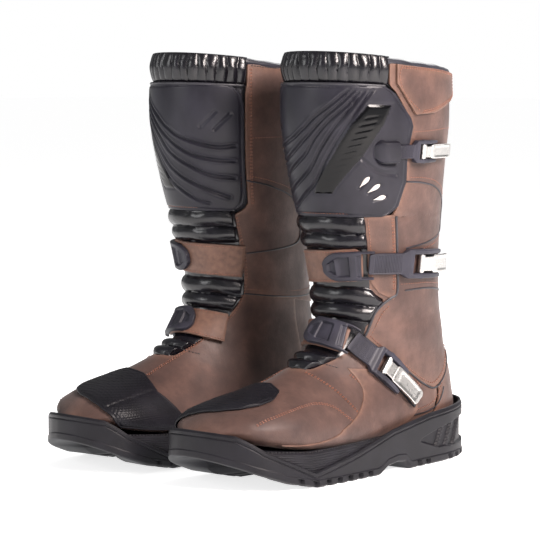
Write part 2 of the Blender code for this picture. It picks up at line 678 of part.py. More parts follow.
def strap(track, half, low):
    """Leather strap across the bellows, with square root and rounded end."""
    stations = [(t, half, low, low + STRAP) for t in np.linspace(0, 0.94, 7)]
    stations.append((1.0, half * 0.8, low, low + STRAP))
    return bar(track, stations, 0.4 * MM)


def slider(track, start, end, half, strap_low):
    """Plastic carrier on the strap: a round nose in front and square ears behind."""
    low = strap_low + STRAP + TOUCH_GAP
    stations = [
        (start, half * 0.45, low, low + SLIDER * 0.7),
        (start + 0.03, half * 0.72, low, low + SLIDER * 0.85),
        (start + 0.09, half * 0.93, low, low + SLIDER),
        (start + 0.16, half, low, low + SLIDER),
    ]
    for t in np.linspace(start + 0.24, end + EAR_REACH, 5):
        stations.append((t, half, low, low + SLIDER))
    return bar(track, stations, 1.0 * MM)


def ear_gap(track, end, strap_low):
    """Space between the ears, where the root of the band lies."""
    low = strap_low - 4 * MM
    places = (end - 0.02, end + EAR_REACH / 2, end + EAR_REACH + 0.1)
    return bar(track, [(t, SLIDER_HALF - 2.2 * MM, low, low + 20 * MM) for t in places], 0.0)


def slider_window(track, start, end, half, strap_low):
    """Recess cut from the top of the slider."""
    low = strap_low + STRAP + TOUCH_GAP + SLIDER * 0.45
    places = np.linspace(start + 0.1, end - 0.12, 4)
    return bar(track, [(t, half * 0.5, low, low + 8 * MM) for t in places], 0.0)


# Grooves of the shin plate from the rim down to the inner edge, as rows of s and th
PLATE_GROOVES = [
    [(0.62, 34), (0.85, 17), (1.15, 0), (1.3, -10), (1.42, -26), (1.5, -42), (1.48, -54)],
    [(0.62, 38), (0.95, 18), (1.25, 4), (1.45, -6), (1.62, -20), (1.72, -38), (1.75, -54)],
    [(0.62, 43), (1.0, 22), (1.3, 9), (1.62, -2), (1.85, -20), (2.0, -36), (2.05, -53)],
    [(0.62, 47), (1.1, 26), (1.45, 14), (1.92, -2), (2.2, -26), (2.38, -46)],
]


def plate_groove(places):
    """Bar along one groove of the shin plate."""
    places = np.array(places, float)
    steps = np.linalg.norm(np.diff(last_point(places[:, 0], places[:, 1]), axis=0), axis=1)
    run = np.concatenate([[0], np.cumsum(steps)]) / 50 / MM
    track = np.column_stack([run, places])
    stations = []
    for t in run:
        ends = t in (run[0], run[-1])
        stations.append((t, PLATE_GROOVE_HALF * (0.4 if ends else 1), PLATE_OUTER - PLATE_GROOVE_DEPTH,
                         PLATE_OUTER + 4 * MM))
    return bar(track, stations, 0.0)


def plate_boss():
    """Raised seat on the plate for the root of the top band."""
    low, high = PLATE_OUTER - 1.2 * MM, 7.2 * MM
    track = [(0, 1.53, 50), (1, 1.53, 69)]
    return bar(track, [(0, 5 * MM, low, high - 3 * MM), (0.25, 8 * MM, low, high - 0.8 * MM),
                       (0.6, 9 * MM, low, high), (1, 9 * MM, low, high)], 1.2 * MM)


def material(name):
    """Principled material of a finish."""
    colour, roughness, metallic = COLOURS[name]
    made = bpy.data.materials.new(name)
    made.use_nodes = True
    shader = made.node_tree.nodes["Principled BSDF"]
    shader.inputs["Base Color"].default_value = (*colour, 1.0)
    shader.inputs["Roughness"].default_value = roughness
    shader.inputs["Metallic"].default_value = metallic
    return made


def add_object(name, mesh_bm, side, parent, origin=None):
    """Object from a left-boot mesh, mirrored where side is -1, with its origin on a joint's axis."""
    finish_mesh(mesh_bm, side)
    centre = Vector((0, 0, 0))
    if origin is not None:
        centre = Vector((origin[0] * side, origin[1], origin[2]))
        bmesh.ops.translate(mesh_bm, vec=-centre, verts=mesh_bm.verts)
    mesh = bpy.data.meshes.new(name)
    mesh_bm.to_mesh(mesh)
    mesh_bm.free()
    mesh.shade_smooth()
    mesh.set_sharp_from_angle(angle=math.radians(35))
    made = bpy.data.objects.new(name, mesh)
    made.location = centre
    made.parent = parent
    bpy.context.scene.collection.objects.link(made)
    return made


def helper(name, mesh_bm, side, parent):
    """Hidden body for a Boolean."""
    made = add_object(name, mesh_bm, side, parent)
    made.hide_render = True
    made.display_type = "WIRE"
    return made


def combine(target, operation, tool):
    modifier = target.modifiers.new(tool.name, "BOOLEAN")
    modifier.operation = operation
    modifier.solver = "EXACT"
    modifier.object = tool


def hinge_point(track, t, height):
    centre, _, _, up = track_frame(track, np.array([t]))
    return centre[0] + up[0] * height


def build_buckle(buckle, side, parent, prefix, materials):
    """Band with its fork, pin, cam lever and toothed catch."""
    root = hinge_point(buckle.track, -0.02, buckle.root_low + BAND)
    pivot = hinge_point(buckle.track, 1.0, PIN_HEIGHT)
    band = add_object(f"{prefix}_band_{buckle.name}", buckle.band(), side, parent, root)
    lever = add_object(f"{prefix}_lever_{buckle.name}", buckle.lever(), side, parent, pivot)
    pin_half = buckle.fork_half - 0.6 * MM
    pin = add_object(f"{prefix}_pin_{buckle.name}", pin_body(buckle.track, 1.0, pin_half, PIN_RADIUS), side,
                     parent, pivot)
    catch = add_object(f"{prefix}_catch_{buckle.name}", buckle.catch(), side, parent)
    slot = helper(f"{prefix}_slot_{buckle.name}", buckle.slot(), side, parent)
    hole = helper(f"{prefix}_hole_{buckle.name}",
                  pin_body(buckle.track, 1.0, buckle.fork_half + 4 * MM, PIN_RADIUS + PIN_GAP), side, parent)
    knuckle = helper(f"{prefix}_knuckle_{buckle.name}",
                     pin_body(buckle.track, 1.0, buckle.lever_half - 0.02 * MM, KNUCKLE_RADIUS), side, parent)
    hook = helper(f"{prefix}_hook_{buckle.name}", buckle.hook(), side, parent)
    combine(band, "DIFFERENCE", slot)
    combine(band, "DIFFERENCE", hole)
    combine(lever, "UNION", knuckle)
    combine(lever, "UNION", hook)
    combine(lever, "DIFFERENCE", hole)
    for made, finish in ((band, "buckle"), (lever, "silver"), (pin, "steel"), (catch, "buckle")):
        made.data.materials.append(materials[finish])


def build_boot(prefix, side, materials):
    """All the pieces of one boot, under one empty that stands it on the ground."""
    stand = bpy.data.objects.new(f"{prefix}_boot", None)
    bpy.context.scene.collection.objects.link(stand)
    middle = Matrix.Translation((0, -(OUTLINE[:, 1].max() + OUTLINE[:, 1].min()) / 2, 0))
    turn = Matrix.Rotation(TOE_OUT * side, 4, "Z")
    place = Matrix.Translation((side * BOOT_SPACING / 2, STAGGER * side / 2, 0))
    stand.matrix_world = place @ turn @ middle

    plain = [
        ("outsole", outsole(), "rubber"),
        ("midsole", midsole(), "foam"),
        ("shank", shank_bar(0.0), "steel"),
        ("footbed", footbed(), "foam"),
        ("bootie", bootie(), "lining"),
        ("vamp", vamp(), "brown_leather"),
        ("heel_counter", heel_counter(), "brown_leather"),
        ("shaft_outer", shaft_outer(), "brown_leather"),
        ("shaft_inner", shaft_inner(), "brown_leather"),
        ("bellows", bellows(), "black_leather"),
        ("shin_plate", shin_plate(), "plate"),
        ("cuff", cuff(), "black_leather"),
        ("shift_pad", shift_pad(), "plate"),
        ("strap_mid", strap(MID_STRAP, MID_HALF, STRAP_LOW["mid"]), "brown_leather"),
        ("strap_low", strap(LOW_STRAP, LOW_HALF, STRAP_LOW["low"]), "brown_leather"),
        ("slider_mid", slider(*SLIDERS["mid"], SLIDER_HALF, STRAP_LOW["mid"]), "buckle"),
        ("slider_low", slider(*SLIDERS["low"], SLIDER_HALF, STRAP_LOW["low"]), "buckle"),
    ]
    made = {}
    for name, mesh_bm, finish in plain:
        made[name] = add_object(f"{prefix}_{name}", mesh_bm, side, stand)
        made[name].data.materials.append(materials[finish])
    flap_hinge = skin(np.array(0.45), np.array(70.0), OVERLAY_GAP + FLAP)
    flap = add_object(f"{prefix}_closure_flap", closure_flap(), side, stand, flap_hinge)
    flap.data.materials.append(materials["brown_leather"])

    combine(made["midsole"], "DIFFERENCE", helper(f"{prefix}_shank_pocket", shank_bar(0.4 * MM), side, stand))
    combine(made["shin_plate"], "UNION", helper(f"{prefix}_plate_boss", plate_boss(), side, stand))
    for number, places in enumerate(PLATE_GROOVES):
        groove = helper(f"{prefix}_plate_groove_{number}", plate_groove(places), side, stand)
        combine(made["shin_plate"], "DIFFERENCE", groove)
    combine(made["outsole"], "DIFFERENCE", helper(f"{prefix}_tread_grooves", tread_cutter(), side, stand))
    for flank, sign in (("outer", 1), ("inner", -1)):
        recess = helper(f"{prefix}_heel_recess_{flank}", heel_recess(sign), side, stand)
        combine(made["outsole"], "DIFFERENCE", recess)
    for name, (track, start, end) in SLIDERS.items():
        slider_body = made[f"slider_{name}"]
        window = slider_window(track, start, end, SLIDER_HALF, STRAP_LOW[name])
        combine(slider_body, "DIFFERENCE", helper(f"{prefix}_window_{name}", window, side, stand))
        gap = ear_gap(track, end, STRAP_LOW[name])
        combine(slider_body, "DIFFERENCE", helper(f"{prefix}_ear_gap_{name}", gap, side, stand))
    for buckle in BUCKLES:
        build_buckle(buckle, side, stand, prefix, materials)
    return stand, made["outsole"]


def centre(boots):
    """Slides both boots together so that the origin lies midway between heels and toes."""
    y = [(stand.matrix_world @ vertex.co).y for stand, sole in boots for vertex in sole.data.vertices]
    for stand, _ in boots:
        stand.location.y -= (max(y) + min(y)) / 2


def main():
    for old in list(bpy.data.objects):
        bpy.data.objects.remove(old, do_unlink=True)
    materials = {name: material(name) for name in COLOURS}
    centre([build_boot("left", 1, materials), build_boot("right", -1, materials)])


main()
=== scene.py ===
"""Looks of a pair of riding boots, laid on the last that their solids are built on.

A place on the last is (s, th). s runs from the rim (0) down the shaft and out to the toe (13). th is the
angle round the boot in degrees: 0 in front, 90 on the outer side, 180 behind and under the sole, -90 on
the inner side. Every piece is worked out for the left boot and mirrored for the right one.
"""

import math

import bmesh
import bpy
import numpy as np
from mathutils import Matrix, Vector


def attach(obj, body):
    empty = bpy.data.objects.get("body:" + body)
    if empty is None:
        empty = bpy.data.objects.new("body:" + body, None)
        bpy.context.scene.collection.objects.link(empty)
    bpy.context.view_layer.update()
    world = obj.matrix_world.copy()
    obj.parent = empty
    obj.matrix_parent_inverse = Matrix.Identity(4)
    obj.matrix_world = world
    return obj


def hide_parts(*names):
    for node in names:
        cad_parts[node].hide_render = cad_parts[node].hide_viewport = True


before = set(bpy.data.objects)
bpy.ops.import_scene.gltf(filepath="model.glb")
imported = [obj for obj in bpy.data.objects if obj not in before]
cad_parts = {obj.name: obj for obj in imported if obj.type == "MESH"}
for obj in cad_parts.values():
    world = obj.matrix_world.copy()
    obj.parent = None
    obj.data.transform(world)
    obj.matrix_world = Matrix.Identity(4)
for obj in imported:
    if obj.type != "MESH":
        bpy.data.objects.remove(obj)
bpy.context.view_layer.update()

MM = 0.001

# ---------------------------------------------------------------------------- the last and its frames

# Stations in millimetres: front f and z, back f and z, outer and inner half width, share of the chord at
# the widest point, roundness in front and behind, sideways shift. f points at the toe.
LAST = np.array([
    (164, 352, 2, 337, 60, 57, 0.50, 2.2, 2.2, 0),
    (165, 300, 1, 298, 60, 57, 0.50, 2.2, 2.2, 0),
    (156, 250, 5, 250, 55, 53, 0.50, 2.2, 2.2, 0),
    (141, 200, 8, 198, 49, 48, 0.50, 2.2, 2.2, 0),
    (132, 160, 6, 148, 45, 44, 0.50, 2.2, 2.2, 0),
    (134, 130, -4, 100, 43, 41, 0.48, 2.1, 2.2, 0),
    (148, 109, -17, 62, 42, 40, 0.45, 2.0, 2.3, 0),
    (170, 95, -10, 32, 43, 41, 0.42, 2.0, 2.6, 0),
    (196, 85, 72, 26, 46, 43, 0.38, 2.0, 3.0, 0),
    (223, 76, 147, 24, 52, 47, 0.36, 2.1, 3.2, -1),
    (248, 70, 205, 26, 53, 50, 0.36, 2.2, 3.2, -3),
    (270, 62, 250, 34, 45, 45, 0.40, 2.2, 3.0, -7),
    (282, 52, 275, 41, 25, 27, 0.45, 2.0, 2.4, -10),
    (286, 48, 283, 44, 11, 13, 0.50, 2.0, 2.0, -11),
], float)
LAST[:, [0, 1, 2, 3, 4, 5, 9]] *= MM
TOE = len(LAST) - 1
TOE_OUT = math.radians(2)
# Where each boot stands: side of the mirror, then x and y of the last's own origin
STANDS = {"left": (1, 0.071348, 0.138395), "right": (-1, -0.071348, 0.128395)}
BODY = {"left": "root", "right": "right_boot"}


def smooth_run(table, place):
    """Catmull-Rom curve through the rows of a table, run on straight above the first row."""
    place = np.asarray(place, float)
    above = np.minimum(place, 0.0)[..., None]
    place = np.clip(place, 0, len(table) - 1 - 1e-9)
    i = np.floor(place).astype(int)
    t = (place - i)[..., None]
    a, b = table[np.maximum(i - 1, 0)], table[i]
    c, d = table[i + 1], table[np.minimum(i + 2, len(table) - 1)]
    return b + 0.5 * t * ((c - a) + t * ((2 * a - 5 * b + 4 * c - d) + t * (3 * (b - c) + d - a))) \
        + above * (table[1] - table[0])


def last_point(s, th):
    """Point of the section across a station's chord.

    The section is a superellipse: x = half * sin^(2/p) and reach = share * cos^(2/p).
    """
    s, th = np.broadcast_arrays(np.asarray(s, float), np.radians(np.asarray(th, float)))
    front_f, front_z, back_f, back_z, outer, inner, share, ahead, behind, shift = np.moveaxis(
        smooth_run(LAST, s), -1, 0)
    sine, cosine = np.sin(th), np.cos(th)
    power = 2 / np.where(cosine > 0, ahead, behind)
    reach = share + np.where(cosine > 0, 1 - share, share) * np.sign(cosine) * np.abs(cosine) ** power
    x = np.where(sine > 0, outer, inner) * np.sign(sine) * np.abs(sine) ** power + shift
    return np.stack([x, -(back_f + reach * (front_f - back_f)), back_z + reach * (front_z - back_z)], -1)


def unit(vectors):
    """Vectors over their own length."""
    return vectors / np.maximum(np.linalg.norm(vectors, axis=-1, keepdims=True), 1e-12)


def run_length(path):
    """Length run along a path up to each of its points."""
    return np.concatenate([[0], np.cumsum(np.linalg.norm(np.diff(path, axis=0), axis=1))])


def outward(s, th):
    """Unit normal: the cross product of the last's two directions, turned away from its middle line."""
    s, th = np.broadcast_arrays(np.asarray(s, float), np.asarray(th, float))
    down = last_point(s + 0.02, th) - last_point(s - 0.02, th)
    turn = last_point(s, th + 0.7) - last_point(s, th - 0.7)
    normal = unit(np.cross(down, turn))
    middle = (last_point(s, 0 * th) + last_point(s, 0 * th + 180)) / 2
    return normal * np.sign(((last_point(s, th) - middle) * normal).sum(-1, keepdims=True))


def skin(s, th, height):
    """Points at a height above the last."""
    return last_point(s, th) + outward(s, th) * np.asarray(height)[..., None]


def smoothstep(low, high, value):
    """3 t^2 - 2 t^3, with t the clipped share of the way from low to high."""
    t = np.clip((np.asarray(value, float) - low) / (high - low), 0, 1)
    return t * t * (3 - 2 * t)


def through(points, value):
    """Straight runs through (x, y) pairs."""
    return np.interp(value, [p[0] for p in points], [p[1] for p in points])


def wander(*places):
    """Slow wave between -1 and 1: the mean of sines at unrelated rates along the given places."""
    total = 0
    for rate, phase, place in zip((1.0, 1.37, 1.93, 2.61, 3.7, 4.4), (0.3, 1.9, 4.1, 2.2, 5.3, 0.9),
                                  places * (6 // len(places))):
        total = total + np.sin(rate * place + phase)
    return total / 6


# ---------------------------------------------------------------------------- meshes

def grid_faces(rows, columns, wrap=False):
    """Squares of a grid of points; wrap joins the last column to the first."""
    i, j = np.meshgrid(np.arange(rows - 1), np.arange(columns - (not wrap)), indexing="ij")
    k = (j + 1) % columns
    return np.stack([i * columns + j, (i + 1) * columns + j, (i + 1) * columns + k, i * columns + k],
                    -1).reshape(-1, 4)


def slab(outer, inner):
    """Closed body between two grids of points, walled along the four edges."""
    rows, columns = outer.shape[:2]
    faces, count = grid_faces(rows, columns), rows * columns
    index = np.arange(count).reshape(rows, columns)
    rim = np.concatenate([index[0, :-1], index[:-1, -1], index[-1, :0:-1], index[:0:-1, 0]])
    after = np.roll(rim, -1)
    walls = np.stack([rim, after, after + count, rim + count], -1)
    return np.concatenate([outer.reshape(-1, 3), inner.reshape(-1, 3)]), \
        np.concatenate([faces, faces[:, ::-1] + count, walls])


def ring_body(rings):
    """Closed body through closed rings (rings, points, 3), its ends drawn in to their middles."""
    ends = [ring.mean(0, keepdims=True) + 0 * ring for ring in (rings[0], rings[-1])]
    rings = np.concatenate([ends[0][None], rings, ends[1][None]])
    return rings.reshape(-1, 3), grid_faces(rings.shape[0], rings.shape[1], wrap=True)


def joined(*bodies):
    """Several (points, faces) bodies as one."""
    starts = np.cumsum([0] + [len(points) for points, _ in bodies[:-1]])
    return np.concatenate([points for points, _ in bodies]), \
        np.concatenate([faces + start for (_, faces), start in zip(bodies, starts)])


def round_tube(path, up, radius, sides=8, height=None):
    """Tube round a path: an ellipse of radius across and height along up, closed at both ends."""
    ahead = unit(np.gradient(path, axis=0))
    across = unit(np.cross(up, ahead))
    turn = np.linspace(0, 2 * math.pi, sides, endpoint=False)
    radius = np.broadcast_to(radius, len(path))[:, None, None]
    height = radius if height is None else np.broadcast_to(height, len(path))[:, None, None]
    ring = across[:, None] * np.cos(turn)[None, :, None] * radius + np.cross(ahead, across)[:, None] \
        * np.sin(turn)[None, :, None] * height
    return ring_body(path[:, None] + ring)


def piece(name, body_mesh, side, body, finish, replaces=(), sharp=40, edge=None):
    """Object from a left-boot body: mirrored and stood in its place, faces out, riding on a body."""
    points, faces = body_mesh
    sign, x, y = STANDS[side]
    cosine, sine = math.cos(TOE_OUT), math.sin(TOE_OUT) * sign
    across, along_y = points[:, 0] * sign, points[:, 1]
    placed = np.stack([cosine * across - sine * along_y + x, sine * across + cosine * along_y + y,
                       points[:, 2]], -1)
    middle = placed - placed.mean(0)
    a, b, c, d = (middle[faces[:, k]] for k in range(4))
    if (np.cross(b - a, c - a) * a).sum() + (np.cross(c - a, d - a) * a).sum() < 0:
        faces = faces[:, ::-1]
    mesh = bpy.data.meshes.new(f"{side}_{name}")
    mesh.from_pydata(placed.tolist(), [], faces.tolist())
    if edge is not None:
        mesh.attributes.new("edge", "FLOAT", "POINT").data.foreach_set(
            "value", np.resize(edge, len(points)).astype(np.float32))
    merged = bmesh.new()
    merged.from_mesh(mesh)
    bmesh.ops.remove_doubles(merged, verts=merged.verts, dist=2e-6)
    merged.to_mesh(mesh)
    merged.free()
    mesh.shade_smooth()
    mesh.set_sharp_from_angle(angle=math.radians(sharp))
    mesh.materials.append(finish)
    made = bpy.data.objects.new(f"{side}_{name}", mesh)
    bpy.context.scene.collection.objects.link(made)
    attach(made, body)
    if replaces:
        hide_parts(*(f"{side}_{node}" for node in replaces))
    return made


# ---------------------------------------------------------------------------- lines and panels on the last

def trace(points, shares=None, step=2 * MM, straight=False):
    """(s, th) along a curve through the points, at shares of its length measured on the last."""
    table = np.array(points, float)
    count = len(table)
    t = np.linspace(0, count - 1, 30 * (count - 1) + 1)
    if straight:
        fine = np.stack([np.interp(t, np.arange(count), table[:, k]) for k in (0, 1)], -1)
    else:
        ends = np.vstack([2 * table[0] - table[1], table, 2 * table[-1] - table[-2]])
        i = np.minimum(t.astype(int), count - 2)
        u = (t - i)[:, None]
        a, b, c, d = ends[i], ends[i + 1], ends[i + 2], ends[i + 3]
        fine = b + 0.5 * u * ((c - a) + u * ((2 * a - 5 * b + 4 * c - d) + u * (3 * (b - c) + d - a)))
    length = run_length(last_point(fine[:, 0], fine[:, 1]))
    if shares is None:
        shares = np.linspace(0, 1, max(3, int(length[-1] / step)))
    return np.stack([np.interp(shares * length[-1], length, fine[:, k]) for k in (0, 1)], -1)


def panel_shares(count, length, rim=(0.25 * MM, 0.6 * MM, 1.1 * MM)):
    """Shares from 0 to 1 with extra lines close to both ends, where an edge is rounded."""
    near = np.array(rim) / length
    return np.concatenate([[0], near[:-1], np.linspace(near[-1], 1 - near[-1], count), 1 - near[-2::-1], [1]])


def fill(top, bottom, left, right, down, across):
    """Coons patch: top to bottom blend plus left to right blend, less the blend of the four corners."""
    v, u = down[:, None, None], across[None, :, None]
    corners = (1 - v) * ((1 - u) * top[0] + u * top[-1]) + v * ((1 - u) * bottom[0] + u * bottom[-1])
    return (1 - v) * top[None] + v * bottom[None] + (1 - u) * left[:, None] + u * right[:, None] - corners


def from_border(points):
    """Distance of each grid point from the nearest edge of its grid, measured along rows and columns."""
    nearest = np.inf
    for axis in (0, 1):
        steps = np.linalg.norm(np.diff(points, axis=axis), axis=-1)
        run = np.concatenate([np.zeros_like(np.take(steps, [0], axis)), np.cumsum(steps, axis)], axis)
        total = np.take(run, [-1], axis)
        nearest = np.minimum(nearest, np.minimum(run, total - run))
    return nearest


def from_lines(points, *lines):
    """Distance of each point from the nearest run of some traced (s, th) lines."""
    nearest = np.full(points.shape[:-1], np.inf)
    for line in lines:
        path = last_point(line[:, 0], line[:, 1])
        a, run = path[:-1], np.diff(path, axis=0)
        for start, ahead in zip(a, run):
            share = np.clip(((points - start) @ ahead) / max((ahead @ ahead), 1e-12), 0, 1)
            nearest = np.minimum(nearest, np.linalg.norm(points - start - share[..., None] * ahead, axis=-1))
    return nearest


def hide(s, th, lift, thick, relief=None, roll=0.7 * MM):
    """Panel of hide over a grid of places: rounded at its border, with a relief above the last.

    height = lift + relief - the drop of a quarter circle of radius roll at the border.
    """
    points = last_point(s, th)
    distance = from_border(points)
    lean = 1 - np.clip(distance / roll, 0, 1)
    height = lift - roll * (1 - np.sqrt(1 - 0.98 * lean ** 2))
    if relief is not None:
        height = height + relief(s, th, points)
    body = slab(skin(s, th, height), skin(s, th, np.broadcast_to(lift - thick, s.shape)))
    edge = np.exp(-distance / (5 * MM)).ravel()
    return body, np.concatenate([edge, edge])


def patch(top, bottom, left, right, rows, columns):
    """(s, th) grids of the patch inside four edge curves given as points."""
    down = panel_shares(rows, 0.1)
    across = panel_shares(columns, 0.1)
    grid = fill(*(trace(points, shares) for points, shares in
                  ((top, across), (bottom, across), (left, down), (right, down))), down, across)
    return grid[..., 0], grid[..., 1]


def laid(line, step, lift):
    """Path along a line of places at a height above the last, with its directions away from the last."""
    fine = trace(line, step=step)
    up = outward(fine[:, 0], fine[:, 1])
    return last_point(fine[:, 0], fine[:, 1]) + up * lift, up


# What sew and pipe have laid so far, as lists of bodies under (side, body, colour) and (side, body)
THREADS = {}
CORDS = {}
# Places along one stitch from end to end, how much of the pitch it covers, and its sides
STITCH = np.array([-1.0, -0.75, 0.0, 0.75, 1.0])
STITCH_COVER = 0.68
STITCH_SIDES = 5


def stitch_path(side, body, colour, path, up, ahead=None, pitch=2.9 * MM, thick=0.42 * MM):
    """Stitches along a path in space: short capsules, half sunk, at one pitch, gathered by boot and thread.

    Each capsule is x along the thread and a circle whose radius falls as sqrt(1 - x^4).
    """
    if ahead is None:
        ahead = unit(np.gradient(path, axis=0))
    length = run_length(path)
    places = np.arange(pitch / 2, length[-1], pitch)
    if not len(places):
        return

    def at(rows):
        return np.stack([np.interp(places, length, rows[:, k]) for k in range(3)], -1)

    centre, x, n = at(path), unit(at(ahead)), unit(at(up))
    y = np.cross(n, x)
    turn = np.linspace(0, 2 * math.pi, STITCH_SIDES, endpoint=False) + 0.3
    circle = y[:, None] * np.cos(turn)[None, :, None] + n[:, None] * np.sin(turn)[None, :, None]
    radius = np.sqrt(np.maximum(1 - STITCH ** 4, 0.0)) * thick
    reach = STITCH * (pitch * STITCH_COVER / 2)
    points = centre[:, None, None] + x[:, None, None] * reach[None, :, None, None] \
        + circle[:, None] * radius[None, :, None, None]
    starts = np.arange(len(places)) * len(STITCH) * STITCH_SIDES
    faces = grid_faces(len(STITCH), STITCH_SIDES, wrap=True)[None] + starts[:, None, None]
    THREADS.setdefault((side, body, colour), []).append((points.reshape(-1, 3), faces.reshape(-1, 4)))


def sew(side, body, colour, line, rows=(0.0,), lift=0.3 * MM, thick=0.42 * MM):
    """Stitches along a traced line, in rows that run beside it at the given distances."""
    path, up = laid(line, 0.8 * MM, lift)
    ahead = unit(np.gradient(path, axis=0))
    across = np.cross(up, ahead)
    for row in rows:
        stitch_path(side, body, colour, path + across * row, up, ahead, thick=thick)


def pipe(side, body, line, radius, lift):
    """Piping laid along a line of places on the last, a little flattened, gathered by boot."""
    path, up = laid(line, 1.5 * MM, lift)
    CORDS.setdefault((side, body), []).append(round_tube(path, up, radius, 8, radius * 0.8))


# ---------------------------------------------------------------------------- finishes

def paint(hex_code):
    """sRGB hex to linear colour."""
    values = [int(hex_code[k:k + 2], 16) / 255 for k in (0, 2, 4)]
    return (*(v / 12.92 if v <= 0.04045 else ((v + 0.055) / 1.055) ** 2.4 for v in values), 1.0)


def node(tree, kind, inputs=None, **settings):
    """Adds a node; an input that is a socket is linked, and any other is set."""
    made = tree.nodes.new(kind)
    for key, value in settings.items():
        setattr(made, key, value)
    for key, value in (inputs or {}).items():
        if isinstance(value, bpy.types.NodeSocket):
            tree.links.new(value, made.inputs[key])
        else:
            made.inputs[key].default_value = value
    return made


def blend(tree, factor, first, second):
    """Colour mixed from first to second by factor; sockets go by number, as their names repeat."""
    return node(tree, "ShaderNodeMix", {0: factor, 6: first, 7: second}, data_type="RGBA").outputs[2]


def finish_of(name):
    """An empty material, its node tree and its place in Object coordinates."""
    made = bpy.data.materials.new(name)
    made.use_nodes = True
    tree = made.node_tree
    tree.nodes.clear()
    place = node(tree, "ShaderNodeTexCoord").outputs["Object"]
    return made, tree, place


def close(tree, shader):
    """Ends a material at its surface shader."""
    node(tree, "ShaderNodeOutputMaterial", {"Surface": shader.outputs["BSDF"]})


def ramp(tree, value, stops):
    """Colour read off a run of (position, hex colour) stops."""
    made = node(tree, "ShaderNodeValToRGB", {"Fac": value})
    points = made.color_ramp.elements
    while len(points) < len(stops):
        points.new(0.5)
    for point, (position, colour) in zip(points, stops):
        point.position = position
        point.color = paint(colour)
    return made.outputs["Color"]


def oiled_hide(name, dark, middle, light, worn):
    """Oiled cow hide, milled and brushed: cloudy colour, a pebbled grain of 1 mm and a broad, waxy shine."""
    made, tree, place = finish_of(name)
    clouds = node(tree, "ShaderNodeTexNoise", {"Vector": place, "Scale": 32.0, "Detail": 5.0,
                                               "Roughness": 0.62})
    base = ramp(tree, clouds.outputs["Fac"], [(0.30, dark), (0.52, middle), (0.72, light)])
    edge = node(tree, "ShaderNodeAttribute", attribute_name="edge")
    scuffs = node(tree, "ShaderNodeTexNoise", {"Vector": place, "Scale": 210.0, "Detail": 3.0})
    rub = node(tree, "ShaderNodeMath", {0: edge.outputs["Fac"], 1: scuffs.outputs["Fac"]},
               operation="MULTIPLY")
    colour = blend(tree, rub.outputs[0], base, paint(worn))
    pebbles = node(tree, "ShaderNodeTexVoronoi", {"Vector": place, "Scale": 900.0}, feature="SMOOTH_F1")
    creases = node(tree, "ShaderNodeTexNoise", {"Vector": place, "Scale": 85.0, "Detail": 6.0,
                                                "Roughness": 0.7})
    fine = node(tree, "ShaderNodeBump", {"Height": pebbles.outputs["Distance"], "Strength": 0.22,
                                         "Distance": 0.0004})
    bump = node(tree, "ShaderNodeBump", {"Height": creases.outputs["Fac"], "Strength": 0.3,
                                         "Distance": 0.0012, "Normal": fine.outputs["Normal"]})
    rough = node(tree, "ShaderNodeMapRange", {"Value": clouds.outputs["Fac"], "From Min": 0.3,
                                              "From Max": 0.7, "To Min": 0.60, "To Max": 0.46})
    close(tree, node(tree, "ShaderNodeBsdfPrincipled", {
        "Base Color": colour, "Roughness": rough.outputs["Result"], "IOR": 1.45,
        "Sheen Weight": 0.08, "Sheen Roughness": 0.5, "Normal": bump.outputs["Normal"]}))
    return made


def polished_hide(name, dark, light, roughness):
    """Smooth calf, dyed through and finished with resin: near black, glossy, with short wrinkles."""
    made, tree, place = finish_of(name)
    clouds = node(tree, "ShaderNodeTexNoise", {"Vector": place, "Scale": 60.0, "Detail": 4.0})
    base = ramp(tree, clouds.outputs["Fac"], [(0.35, dark), (0.7, light)])
    wrinkles = node(tree, "ShaderNodeTexNoise", {"Vector": place, "Scale": 150.0, "Detail": 5.0,
                                                 "Roughness": 0.65, "Distortion": 0.6})
    bump = node(tree, "ShaderNodeBump", {"Height": wrinkles.outputs["Fac"], "Strength": 0.35,
                                         "Distance": 0.0009})
    close(tree, node(tree, "ShaderNodeBsdfPrincipled", {
        "Base Color": base, "Roughness": roughness, "IOR": 1.48, "Coat Weight": 0.12, "Coat Roughness": 0.15,
        "Normal": bump.outputs["Normal"]}))
    return made


def moulded(name, dark, light, roughness, grain=1400.0, strength=0.12, gloss=False):
    """Injection moulded plastic or rubber from a spark-eroded tool: even colour, a fine matt grain."""
    made, tree, place = finish_of(name)
    clouds = node(tree, "ShaderNodeTexNoise", {"Vector": place, "Scale": 45.0, "Detail": 3.0})
    base = ramp(tree, clouds.outputs["Fac"], [(0.35, dark), (0.68, light)])
    texture = node(tree, "ShaderNodeTexNoise", {"Vector": place, "Scale": grain, "Detail": 2.0})
    bump = node(tree, "ShaderNodeBump", {"Height": texture.outputs["Fac"], "Strength": strength,
                                         "Distance": 0.0003})
    inputs = {"Base Color": base, "IOR": 1.48, "Specular IOR Level": 0.28, "Normal": bump.outputs["Normal"]}
    if gloss:
        shine = node(tree, "ShaderNodeAttribute", attribute_name="edge")
        rough = node(tree, "ShaderNodeMapRange", {"Value": shine.outputs["Fac"], "To Min": roughness,
                                                  "To Max": 0.12})
        inputs["Roughness"] = rough.outputs["Result"]
        inputs["Base Color"] = blend(tree, shine.outputs["Fac"], base, paint("060608"))
    else:
        inputs["Roughness"] = roughness
    close(tree, node(tree, "ShaderNodeBsdfPrincipled", inputs))
    return made


